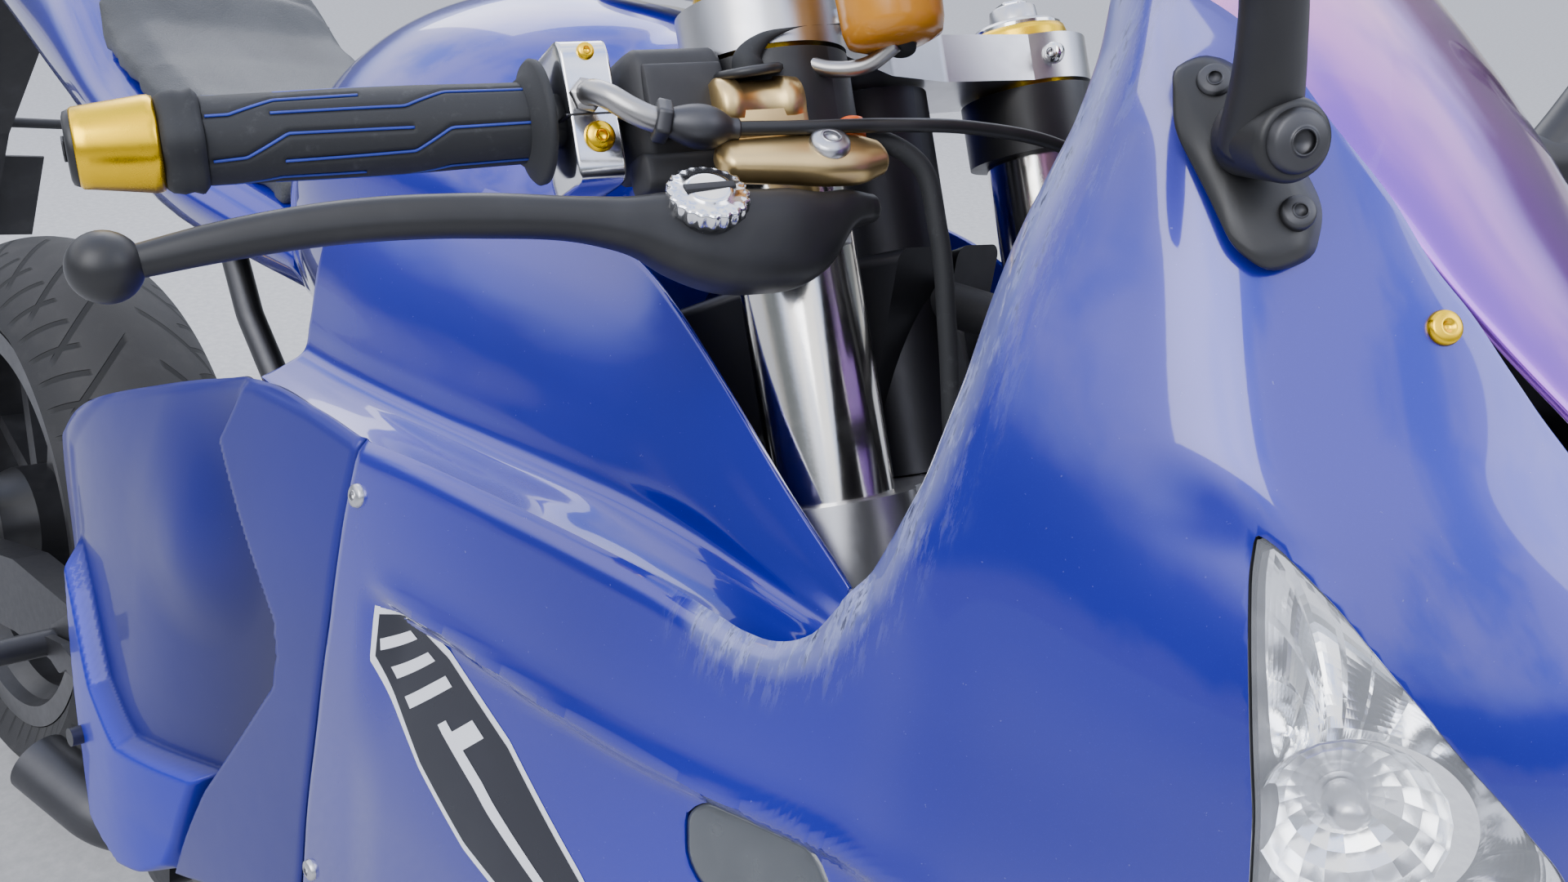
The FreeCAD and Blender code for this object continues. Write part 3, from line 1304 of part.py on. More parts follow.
sides_inner = body_loft(
    [(x, [(y - panel_wall, z + (panel_wall if i == 0 else 8 if i == 5 else 0))
          for i, (y, z) in enumerate(half)]) for x, half in SIDES], 0, 0, 2)
nose_outer = body_loft(NOSE)
nose_inner = body_loft(
    [(x if x < 1500 else 1490,
      [(y - panel_wall, z + (panel_wall if i == 0 else -panel_wall if i == 3 else 0))
       for i, (y, z) in enumerate(half)]) for x, half in NOSE], 0, 0, 0)
sides_shell = sides_outer.cut(sides_inner)
nose_shell = nose_outer.cut(nose_inner)

# Posts from the frame and the engine carry the panels, each a little short of the panel's inside
seat_gap = size("seat_gap")
posts_inner = body_loft(
    [(x, [(y - panel_wall - seat_gap, z) for y, z in half]) for x, half in SIDES])
frame_posts = [rod((x, 120, z), (x, 230, level(z)), 7).common(posts_inner)
               for x, z in ((962, 722), (740, 616))]
engine_posts = [cross_bar(x, z, 100, 260, 7).common(posts_inner)
                for x, z in ((722, 264), (931, 264))]
nodes["engine_block"].Shape = fuse([engine] + engine_posts
                                   + [mirrored(post) for post in engine_posts])
nodes["engine_block"].Placement = bike

half_gap = size("panel_gap") / 2
shelf = size("shelf_height")
split = levelled([(958, 748), (940, 640), (924, 500), (905, 420), (900, 300)])
seam = level(300)


def shifted(points, move):
    return [(x + move, z) for x, z in points]


side_outline = (shifted(split, half_gap)[:4] + [(905 + half_gap, seam + half_gap),
                (1056, seam + half_gap)]
                + levelled([(1085, 400), (1110, 520), (1168, 610), (1250, 652),
                            (1296, 700 - half_gap), (1236, 748 - half_gap)]))
mid_outline = (shifted(split, -half_gap)[:4]
               + levelled([(760, 420), (612, 470), (494, 560), (560, 632), (820, 742),
                           (846, 748)]))
belly_outline = [(694, seam - half_gap), (1056, seam - half_gap), (1036, 230), (1000, 160),
                 (960, 110), (694, 110), (694, 200)]
nose_outline = levelled([(1258, 1010), (1262, 960), (1256, 905), (1254, 850), (1248, 800),
                         (1236, 772), (1216, 748 + half_gap), (1236, 748 + half_gap),
                         (1296, 700 + half_gap), (1330, 660), (1520, 660), (1520, 1010)])

side_cowl = sides_shell.common(side_plate(side_outline, 100, 260))
mid_panel = sides_shell.common(side_plate(mid_outline, 90, 260))
belly_cowl = sides_shell.common(side_plate(belly_outline, -260, 260))
upper_cowl = nose_shell.common(side_plate(nose_outline, -260, 260))

screen_hole = top_plate([(1180, 128), (1260, 126), (1330, 122), (1386, 90), (1428, 62),
                         (1446, 30), (1446, -30), (1428, -62), (1386, -90), (1330, -122),
                         (1260, -126), (1180, -128)], level(840), level(1100))
upper_cowl = upper_cowl.cut(screen_hole)
under_open = Part.makeBox(120, 300, 60, Vector(1240, -150, level(710) - 60))
upper_cowl = upper_cowl.cut(under_open)

lamp_outline = levelled([(1370, 846), (1392, 778), (1396, 712), (1470, 716), (1480, 742),
                         (1452, 770)])
lamp_hole = levelled([(1368, 848), (1391, 778), (1395, 711), (1471, 715), (1482, 743),
                      (1453, 772)])
upper_cowl = upper_cowl.cut(side_plate(lamp_hole, 44, 260)).cut(side_plate(lamp_hole, -260, -44))
lamp_form = nose_outer.cut(nose_outer.copy().translated(Vector(-26, 0, 0)))
headlight = lamp_form.common(side_plate(lamp_outline, 45, 260))
headlight = max(headlight.Solids, key=lambda solid: solid.Volume)
add("headlights", group(both(headlight)), bike)

upper_cowl = max(upper_cowl.Solids, key=lambda solid: solid.Volume)
side_cowl = max(side_cowl.Solids, key=lambda solid: solid.Volume)
mid_panel = max(mid_panel.Solids, key=lambda solid: solid.Volume)
add("side_cowls", group(both(side_cowl)), bike)
add("mid_panels", group(both(mid_panel)), bike)
add("belly_cowl", belly_cowl, bike)

# Windscreen: crescents across the bike

SCREEN = [  # x, half width at the lower edge, its height, height at the middle
    (1442, 60, 880.5, 889),
    (1386, 98, 919.5, 942),
    (1330, 130, 953.5, 1000),
    (1260, 132, 990.5, 1052),
    (1200, 108, 1040, 1084),
    (1152, 62, 1082, 1097),
]
SCREEN = [(x, half, level(edge), level(top)) for x, half, edge, top in SCREEN]
screen_wall = size("screen_wall")


def crescent(x, half, edge, top):
    """A thin arch: outer arc, inner arc and the two edges."""
    outer = Part.Arc(Vector(x, half, edge), Vector(x, 0, top), Vector(x, -half, edge))
    inner = Part.Arc(Vector(x, -half + screen_wall, edge), Vector(x, 0, top - screen_wall),
                     Vector(x, half - screen_wall, edge))
    right = Part.makeLine(Vector(x, -half, edge), Vector(x, -half + screen_wall, edge))
    left = Part.makeLine(Vector(x, half - screen_wall, edge), Vector(x, half, edge))
    return Part.Wire([outer.toShape(), right, inner.toShape(), left])


screen = Part.makeLoft([crescent(*station) for station in SCREEN], True, True)
screen = screen.cut(nose_outer)
screen = max(screen.Solids, key=lambda solid: solid.Volume)
add("windscreen", screen, bike)

# Cluster and its stay from the head tube, mirrors, and the front turn signals

stay_z = level(858)
stay_root = tube([(1120, 0, 850), (1215, 0, 850), (1292, 0, stay_z)], 11, 60)
stay_bar = cross_bar(1292, stay_z, -200, 200, 9).common(nose_inner)
stay_post = Part.makeBox(14, 40, 110, Vector(1276, -20, stay_z - 8))
stay = fuse([stay_root, stay_bar, stay_post]).cut(main_frame)
stay = max(stay.Solids, key=lambda solid: solid.Volume)
cluster = Part.makeBox(36, 156, 92, Vector(0, -78, 0))
cluster = cluster.makeFillet(9, cluster.Edges)
cluster.Placement = Placement(Vector(1234, 0, level(898)), Rotation(Y_AXIS, 18))
cluster = cluster.cut(stay)
cluster = max(cluster.Solids, key=lambda solid: solid.Volume)
add("cowl_stay", stay, bike)
add("instrument_cluster", cluster, bike)
upper_cowl = upper_cowl.cut(stay)
add("upper_cowl", upper_cowl, bike)

mirror_base = Part.makeBox(66, 26, 34, Vector(-33, -13, -20))
mirror_base = mirror_base.makeFillet(8, mirror_base.Edges)
mirror_base.Placement = Placement(Vector(1331, -150, level(950)),
                                  Rotation(X_AXIS, 38).multiply(Rotation(Y_AXIS, 30)))
mirror_base = mirror_base.cut(nose_outer).cut(screen)
mirror_base = max(mirror_base.Solids, key=lambda solid: solid.Volume)
mirror_stem = tube([(1333, -158, level(958)), (1336, -198, level(1010)),
                    (1310, -256, level(1044))], 8, 60)
mirror_head = Part.makeLoft([
    rounded_wire([Vector(1318 + dx * 12, y, level(1052) + dz * high) for dx, dz in
                  ((-1, -1), (1, -1), (1, 1), (-1, 1))], 9, True)
    for y, high in ((-236, 26), (-276, 38), (-332, 34), (-354, 20))], True, True)
mirror = fuse([mirror_base, mirror_stem.cut(nose_outer), mirror_head])
mirror = max(mirror.Solids, key=lambda solid: solid.Volume)
add("mirrors", group(both(mirror)), bike)

signal_outline = levelled([(1182, 650), (1192, 682), (1246, 694), (1256, 672)])
signal_hole = side_plate(signal_outline, 150, 260)
# the signals sit flush in the side panels
signal = sides_shell.common(side_plate(levelled([
    (1182.8, 650.5), (1192.4, 681.6), (1245.6, 693.4), (1255.2, 672.3)]), 150, 260))
nodes["side_cowls"].Shape = group(both(side_cowl.cut(signal_hole)))
nodes["side_cowls"].Placement = bike
add("front_signals", group(both(signal)), bike)

# Rearsets and side stand

peg_y = frame_gap + frame_wall
spacer = cross_bar(520, 440, peg_y, peg_y + 14, 10)
hanger_plate = side_plate([(535, 455), (520, 425), (440, 366), (412, 372), (424, 404),
                           (500, 458)], peg_y + 12, peg_y + 20, 8)
peg = cross_bar(430, 392, peg_y + 18, peg_y + 18 + size("peg_length"), 11)
pedal = side_plate([(430, 384), (470, 392), (580, 384), (584, 396), (470, 410), (430, 400)],
                   peg_y + 22, peg_y + 29, 4)
toe = cross_bar(578, 390, peg_y + 26, peg_y + 62, 7)
rearset = fuse([spacer, hanger_plate, peg, pedal, toe])
add("rearsets", group([solid.cut(main_frame) for solid in both(rearset)]), bike)

stand_pivot = Vector(size("stand_pivot_x"), size("stand_pivot_y"), size("stand_pivot_z"))
floor_up = bike.Rotation.inverted().multVec(Z_AXIS)
foot_guess = Vector(size("stand_foot_x"), size("stand_foot_y"), 0)
foot_height = bike.multVec(foot_guess).z / floor_up.z
stand_foot = foot_guess - Z_AXIS * foot_height
leg_line = stand_foot - stand_pivot
stowed_line = Vector(-1, 0.12, 0.05)
stand_axis = leg_line.cross(stowed_line).normalize()
stand_swing = math.degrees(leg_line.getAngle(stowed_line))
foot_thick = 6
foot_plate = Part.makeCylinder(size("stand_foot_radius"), foot_thick, stand_foot, floor_up)
leg_end = stand_foot + floor_up * (foot_thick / 2)
leg_bar = Part.makeCylinder(size("stand_leg_radius"), (leg_end - stand_pivot).Length,
                            stand_pivot, leg_end - stand_pivot)
eye_half = 12
stand_eye = Part.makeCylinder(17, 2 * eye_half, stand_pivot - stand_axis * eye_half, stand_axis)
below_floor = Part.makeCylinder(80, 40, stand_foot - floor_up * 40, floor_up)
stand = fuse([leg_bar, stand_eye, foot_plate]).cut(below_floor)
stand_bolt = 6
bolt_hole = Part.makeCylinder(stand_bolt + gap, 60, stand_pivot - stand_axis * 30, stand_axis)
stand = stand.cut(bolt_hole)
add("side_stand", stand, bike)
bolt = Part.makeCylinder(stand_bolt, 2 * eye_half + 26,
                         stand_pivot - stand_axis * (eye_half + 22), stand_axis)
bolt_head = Part.makeCylinder(10, 4, stand_pivot + stand_axis * (eye_half + 0.4), stand_axis)
ear = Part.makeCylinder(15, 18, stand_pivot - stand_axis * (eye_half + 18.4), stand_axis)
ear_arm = rod((594, peg_y - 14, 262),
              tuple(stand_pivot - stand_axis * (eye_half + 15)), 8)
stand_bracket = fuse([bolt, bolt_head, ear, ear_arm])
nodes["main_frame"].Shape = fuse([main_frame, stand_bracket] + frame_posts
                                 + [mirrored(post) for post in frame_posts])
nodes["main_frame"].Placement = bike


# Stand the bike over the middle of its footprint, check it, and write it

doc.recompute()
box = None
for node in nodes.values():
    bounds = node.Shape.optimalBoundingBox(False)
    box = bounds if box is None else box.united(bounds)
centre = Vector((box.XMin + box.XMax) / 2, (box.YMin + box.YMax) / 2, 0)
for node in nodes.values():
    place = node.Placement
    node.Placement = Placement(place.Base - centre, place.Rotation)
bike.Base = bike.Base - centre
steering.Base = steering.Base - centre
doc.recompute()

faults = []
for item in doc.Objects:
    if "Invalid" in item.State or "Error" in item.State:
        faults.append(f"{item.Label}: {item.State}")
for label, node in nodes.items():
    shape = node.Shape
    if shape.isNull() or not shape.isValid() or not shape.Solids:
        faults.append(f"{label}: no valid solid")
if faults:
    raise RuntimeError("; ".join(faults))

os.makedirs("parts", exist_ok=True)
for label, node in nodes.items():
    node.Shape.exportStep(f"parts/{label}.step")


def told(name, vector):
    print(name, *(round(value, 4) for value in vector))


told("bike_origin", bike.Base)
told("bike_turn", bike.Rotation.Q)
told("steering_origin", steering.Base)
told("steering_axis", steering.Rotation.multVec(Z_AXIS))
told("front_axle", steering.multVec(Vector(offset, 0, 0)))
told("front_axle_axis", steering.Rotation.multVec(Y_AXIS))
told("rear_axle", bike.multVec(rear_axle_point))
told("rear_axle_axis", bike.Rotation.multVec(Y_AXIS))
told("stand_pivot", bike.multVec(stand_pivot))
told("stand_axis", bike.Rotation.multVec(stand_axis))
told("stand_swing", (stand_swing,))
told("cap_hinge", bike.multVec(Vector(hinge_x, 0, hinge_z)))
told("cap_axis", bike.Rotation.multVec(Y_AXIS))
told("box_low", (box.XMin - centre.x, box.YMin - centre.y, box.ZMin))
told("box_high", (box.XMax - centre.x, box.YMax - centre.y, box.ZMax))
for label, node in nodes.items():
    print(label, len(node.Shape.Solids), round(node.Shape.Volume / 1000))
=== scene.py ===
import json
import math

import bmesh
import bpy
import numpy as np
from mathutils import Matrix

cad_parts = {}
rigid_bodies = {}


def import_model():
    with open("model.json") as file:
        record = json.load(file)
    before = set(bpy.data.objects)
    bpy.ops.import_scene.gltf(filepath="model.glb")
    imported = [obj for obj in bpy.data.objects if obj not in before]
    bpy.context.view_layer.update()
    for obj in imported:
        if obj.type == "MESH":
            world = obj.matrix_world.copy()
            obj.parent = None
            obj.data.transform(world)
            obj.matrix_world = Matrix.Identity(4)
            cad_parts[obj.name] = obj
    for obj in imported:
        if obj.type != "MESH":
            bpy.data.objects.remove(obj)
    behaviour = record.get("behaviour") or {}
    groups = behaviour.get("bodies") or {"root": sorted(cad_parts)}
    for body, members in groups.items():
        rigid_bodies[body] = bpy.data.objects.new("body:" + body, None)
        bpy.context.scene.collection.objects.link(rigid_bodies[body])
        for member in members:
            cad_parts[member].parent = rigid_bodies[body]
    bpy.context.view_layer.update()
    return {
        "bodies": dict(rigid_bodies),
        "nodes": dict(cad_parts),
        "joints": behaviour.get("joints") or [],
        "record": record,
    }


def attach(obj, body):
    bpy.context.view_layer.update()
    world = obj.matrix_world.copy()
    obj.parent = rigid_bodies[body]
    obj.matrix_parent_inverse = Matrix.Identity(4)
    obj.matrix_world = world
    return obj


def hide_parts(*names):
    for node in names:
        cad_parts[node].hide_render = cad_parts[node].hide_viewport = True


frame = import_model()
print("frame loaded")

# The bike's own frame, in millimetres: x ahead of the rear axle, y to the left, z up from the floor
joints = {joint["name"]: joint for joint in frame["joints"]}
nodes = frame["nodes"]
bikeSizes = {"wheelbase": 1375, "rearRadius": 315, "frontRadius": 300, "rake": 24, "forkOffset": 33,
             "forkHalf": 105, "barHeight": 693, "barSweep": 21.3}


def unit(vector):
    return vector / np.linalg.norm(vector)


def readBikeFrame():
    rear = np.array(joints["rear_wheel_spin"]["pos_m"])
    front = np.array(joints["front_wheel_spin"]["pos_m"])
    left = unit(np.array(joints["rear_wheel_spin"]["axis"]))
    between = front - rear
    between = unit(between - left * (between @ left))
    drop = math.atan2(bikeSizes["frontRadius"] - bikeSizes["rearRadius"], bikeSizes["wheelbase"])
    level = np.cross(between, left)
    forward = between * math.cos(drop) - level * math.sin(drop)
    up = np.cross(forward, left)
    return np.stack([forward, left, up]), rear - up * bikeSizes["rearRadius"] / 1000


bikeAxes, bikeOrigin = readBikeFrame()

# A point of the bike's frame times this is the point opposite it on the other side
flip = np.array([1, -1, 1])
# The right side and the left side
bothSides = (-1, 1)


def toRow(points):
    # Millimetres in the bike's frame / 1000, turned by its axes, + its origin: metres in the row's
    return np.asarray(points, float) / 1000 @ bikeAxes + bikeOrigin


def toBike(points):
    return (np.asarray(points, float) - bikeOrigin) @ bikeAxes.T * 1000


rakeTurn = math.radians(bikeSizes["rake"])
steerAxes = np.array([[math.cos(rakeTurn), 0, math.sin(rakeTurn)], [0, 1, 0],
                      [-math.sin(rakeTurn), 0, math.cos(rakeTurn)]])
steerOrigin = np.array([bikeSizes["wheelbase"], 0, bikeSizes["frontRadius"]]) \
    - steerAxes[0] * bikeSizes["forkOffset"]


def steerToBike(points):
    # Points of the steering's frame (x ahead, y left, z up the fork) in the bike's frame
    return np.asarray(points, float) @ steerAxes + steerOrigin


sweepTurn = math.radians(bikeSizes["barSweep"])
barAxes = np.array([[-math.sin(sweepTurn), -math.cos(sweepTurn), 0],
                    [math.cos(sweepTurn), -math.sin(sweepTurn), 0], [0, 0, 1]])
barOrigin = np.array([bikeSizes["forkOffset"], -bikeSizes["forkHalf"], bikeSizes["barHeight"]])


def barToBike(points, side=-1):
    # Points of a handlebar's frame (out along it, forward of it, up) in the bike's frame
    placed = np.asarray(points, float) @ barAxes + barOrigin
    placed = placed * np.array([1, -side, 1])
    return steerToBike(placed)


# Curves and surfaces


def cubicShares(knots, at):
    # The interval that holds each place, and what its ends' values and slopes count for there
    at = np.clip(np.asarray(at, float), knots[0], knots[-1])
    i = np.clip(np.searchsorted(knots, at, side="right") - 1, 0, len(knots) - 2)
    width = knots[i + 1] - knots[i]
    t = (at - knots[i]) / width
    return i, [2 * t ** 3 - 3 * t ** 2 + 1, (t ** 3 - 2 * t ** 2 + t) * width,
               3 * t ** 2 - 2 * t ** 3, (t ** 3 - t ** 2) * width]


def smooth(knots, values, at):
    # A cubic through the knots whose slopes come from the neighbours on both sides
    knots = np.asarray(knots, float)
    values = np.asarray(values, float)
    slopes = np.gradient(values, knots, axis=0)
    i, shares = cubicShares(knots, at)
    if values.ndim > 1:
        shares = [share[..., None] for share in shares]
    return (shares[0] * values[i] + shares[1] * slopes[i]
            + shares[2] * values[i + 1] + shares[3] * slopes[i + 1])


def smoothRows(knots, table, stations, at, x):
    # The same cubic in two directions: a table's rows at its knots, its columns at its stations
    knots = np.asarray(knots, float)
    columns = np.stack([smooth(stations, row, x) for row in table])
    slopes = np.gradient(columns, knots, axis=0)
    i, shares = cubicShares(knots, at)

    def pick(values, row):
        return np.take_along_axis(values, row[None], 0)[0]

    return (shares[0] * pick(columns, i) + shares[1] * pick(slopes, i)
            + shares[2] * pick(columns, i + 1) + shares[3] * pick(slopes, i + 1))


def step(low, high, at):
    # 0 below low, 1 above high, with a smooth rise between
    t = np.clip((np.asarray(at, float) - low) / (high - low), 0, 1)
    return t * t * (3 - 2 * t)


def rolledEdge(distance, depth, width):
    # depth x (1 - distance / width) squared, and 0 farther away than the width
    return depth * np.clip(1 - distance / width, 0, 1) ** 2


def pathLengths(points):
    # How far along a line of points each of them lies
    return np.concatenate([[0], np.cumsum(np.linalg.norm(np.diff(points, axis=0), axis=1))])


def alongLine(points, count, power=1.0):
    # Points on a smooth line, at shares of its length from 0 to 1 raised to a power
    points = np.asarray(points, float)
    lengths = pathLengths(points)
    return smooth(lengths, points, np.linspace(0, 1, count) ** power * lengths[-1])


def alongStraight(line, at):
    # Points on straight stretches of (x, z) points, at lengths along them
    lengths = pathLengths(line)
    return np.stack([np.interp(at, lengths, line[:, i]) for i in (0, 1)], -1)


def roundOutline(outline, count):
    # As many points as counted, at equal steps round a closed outline of (x, z) points
    closed = np.concatenate([outline, outline[:1]])
    return alongStraight(closed, np.linspace(0, pathLengths(closed)[-1], count, endpoint=False))


def fullTurn(sides):
    return np.linspace(0, 2 * math.pi, sides, endpoint=False)


def linked(name, data):
    made = bpy.data.objects.new(name, data)
    bpy.context.scene.collection.objects.link(made)
    return made


def newObject(name, mesh, look, body):
    piece = linked(name, mesh)
    piece.data.materials.append(looks[look])
    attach(piece, body)
    return piece


def gridFaces(rows, columns, start, looped):
    # A grid's quads; when it is looped, its last column joins the first
    r, c = np.meshgrid(np.arange(rows - 1), np.arange(columns if looped else columns - 1),
                       indexing="ij")
    r, c = r.ravel(), c.ravel()
    r2, c2 = r + 1, (c + 1) % columns
    return start + np.stack([r * columns + c, r * columns + c2, r2 * columns + c2,
                             r2 * columns + c], 1)


def meshFrom(name, sheets, merge=0.00005, marks=None):
    # One mesh from grids of bike-frame points: each sheet is (points, whether it is looped)
    points, faces, spans = [], [], []
    start = 0
    for grid, looped in sheets:
        rows, columns = grid.shape[:2]
        faces.append(gridFaces(rows, columns, start, looped))
        u, v = np.meshgrid(np.linspace(0, 1, rows), np.linspace(0, 1, columns), indexing="ij")
        spans.append(np.stack([u.ravel(), v.ravel()], 1))
        points.append(grid.reshape(-1, 3))
        start += rows * columns
    points = toRow(np.concatenate(points))
    faces = np.concatenate(faces)
    spans = np.concatenate(spans)
    mesh = bpy.data.meshes.new(name)
    mesh.from_pydata(points.tolist(), [], faces.tolist())
    mapping = mesh.uv_layers.new(name="UVMap")
    mapping.data.foreach_set("uv", spans[faces.ravel()].ravel().astype(np.float32))
    for key, values in (marks or {}).items():
        made = mesh.attributes.new(key, "FLOAT", "POINT")
        made.data.foreach_set("value", np.asarray(values, np.float32).ravel())
    mesh.update()
    tidyMesh(mesh, merge)
    return mesh


def bikePiece(name, sheets, look, body="chassis", merge=0.00005, marks=None):
    # A piece from (grid, looped) sheets of bike-frame points
    return newObject(name, meshFrom(name, sheets, merge, marks), look, body)


def mirroredSheets(sheets):
    return sheets + [(grid * flip, looped) for grid, looped in sheets]


def tidyMesh(mesh, merge):
    # Weld the seams, drop faces without area and turn every face outwards
    work = bmesh.new()
    work.from_mesh(mesh)
    bmesh.ops.remove_doubles(work, verts=work.verts, dist=merge)
    bmesh.ops.dissolve_degenerate(work, edges=work.edges, dist=1e-6)
    bmesh.ops.recalc_face_normals(work, faces=work.faces)
    work.to_mesh(mesh)
    work.free()
    mesh.shade_smooth()


def applyModifiers(piece):
    graph = bpy.context.evaluated_depsgraph_get()
    done = bpy.data.meshes.new_from_object(piece.evaluated_get(graph))
    piece.modifiers.clear()
    piece.data = done


def finishShape(piece, wall=0, bevel=0, segments=2, subdivide=0, angle=35):
    # A wall turned inwards, rounded edges and subdivision, applied in that order
    if wall:
        solid = piece.modifiers.new("wall", "SOLIDIFY")
        solid.thickness = wall / 1000
        solid.offset = -1
        solid.use_even_offset = False
    if bevel:
        edge = piece.modifiers.new("edge", "BEVEL")
        edge.width = bevel / 1000
        edge.segments = segments
        edge.limit_method = "ANGLE"
        edge.angle_limit = math.radians(angle)
    if subdivide:
        extra = piece.modifiers.new("smoother", "SUBSURF")
        extra.levels = extra.render_levels = subdivide
    applyModifiers(piece)


def wallInside(piece, wall, bevel=0):
    # A wall whose inner side, the second half of its points, is marked for the paint to leave black
    finishShape(piece, wall)
    marked = np.repeat([0.0, 1.0], len(piece.data.vertices) // 2)
    inner = piece.data.attributes.new("inner", "FLOAT", "POINT")
    inner.data.foreach_set("value", marked)
    if bevel:
        finishShape(piece, bevel=bevel, angle=50)


def capped(grid):
    # A tube's grid (stations by sides) with each end drawn in to its middle
    first, last = grid[:1].mean(axis=1, keepdims=True), grid[-1:].mean(axis=1, keepdims=True)
    sides = grid.shape[1]
    return np.concatenate([np.repeat(first, sides, 1), grid, np.repeat(last, sides, 1)])


def pathFrames(path):
    # Unit vectors along and across a path, carried along it without twisting
    along = np.gradient(path, axis=0)
    along /= np.linalg.norm(along, axis=1, keepdims=True)
    side = np.cross(along[0], [0.13, 0.21, 1.0])
    side = unit(side)
    sides = [side]
    for direction in along[1:]:
        side = side - direction * (side @ direction)
        side = unit(side)
        sides.append(side)
    sides = np.array(sides)
    return along, sides, np.cross(along, sides)


def hosePoints(points, radius, count=80, sides=20, rounds=None):
    # A round tube along a smooth path; rounds gives its radius from 0 to 1 along it
    path = alongLine(points, count)
    _, side, other = pathFrames(path)
    turn = fullTurn(sides)
    radii = np.full(count, float(radius)) if rounds is None else \
        smooth(rounds[0], rounds[1], np.linspace(0, 1, count))
    ring = side[:, None] * np.cos(turn)[None, :, None] \
        + other[:, None] * np.sin(turn)[None, :, None]
    return capped(path[:, None] + ring * radii[:, None, None])


# A direction that no turned piece's axis has
offAxis = [0.31, 0.2, 1.0]


def lathePoints(profile, centre, axis, sides=48):
    # A profile of (along the axis, radius) pairs turned about an axis of the bike's frame
    profile = np.asarray(profile, float)
    axis = unit(np.asarray(axis, float))
    side = unit(np.cross(axis, offAxis))
    turn = fullTurn(sides)
    ring = side[None] * np.cos(turn)[:, None] + np.cross(axis, side)[None] * np.sin(turn)[:, None]
    return np.asarray(centre, float) + axis * profile[:, None, None, 0] * np.ones((1, sides, 1)) \
        + ring[None] * profile[:, None, None, 1]


def squareRound(turn, power):
    # A superellipse's unit outline: 2 is a circle, and more is squarer
    c, s = np.cos(turn), np.sin(turn)
    return np.sign(c) * np.abs(c) ** (2 / power), np.sign(s) * np.abs(s) ** (2 / power)


def loftPoints(stations, along, across, upward, count=40, sides=40, ends=0.25):
    # A form through stations of (along, across, up, half across, half up, power), ends rounded
    stations = np.asarray(stations, float)
    place = np.linspace(stations[0, 0], stations[-1, 0], count)
    rows = smooth(stations[:, 0], stations, place)
    rows[:, 3:5] = np.maximum(rows[:, 3:5], 0.2)
    turn = fullTurn(sides)
    grids = []
    for row in rows:
        a, b = squareRound(turn, max(row[5], 1.6))
        grids.append(row[0] * along + (row[1] + a[:, None] * row[3]) * across
                     + (row[2] + b[:, None] * row[4]) * upward)
    grid = np.array(grids)

    def rounded(rim, outward, size):
        middle = rim.mean(axis=0)
        turns = np.linspace(0, math.pi / 2, 6)[1:]
        return np.array([middle + (rim - middle) * math.cos(t) + outward * size * math.sin(t)
                         for t in turns])

    along = np.asarray(along, float)
    head = rounded(grid[0], -along, ends * min(rows[0, 3], rows[0, 4]))[::-1]
    foot = rounded(grid[-1], along, ends * min(rows[-1, 3], rows[-1, 4]))
    return np.concatenate([head, grid, foot])


# Materials: one small wrapper so that shader maths reads as plain expressions


class Wire:
    # An output socket; sums and products of wires add their Math nodes

    def __init__(self, shade, socket):
        self.shade = shade
        self.socket = socket

    def math(self, operation, other=None, swap=False):
        first, second = (other, self) if swap else (self, other)
        return self.shade.node("ShaderNodeMath", {"operation": operation}, {0: first, 1: second})

    def __add__(self, other):
        return self.math("ADD", other)

    __radd__ = __add__

    def __sub__(self, other):
        return self.math("SUBTRACT", other)

    def __rsub__(self, other):
        return self.math("SUBTRACT", other, True)

    def __mul__(self, other):
        return self.math("MULTIPLY", other)

    __rmul__ = __mul__

    def __truediv__(self, other):
        return self.math("DIVIDE", other)


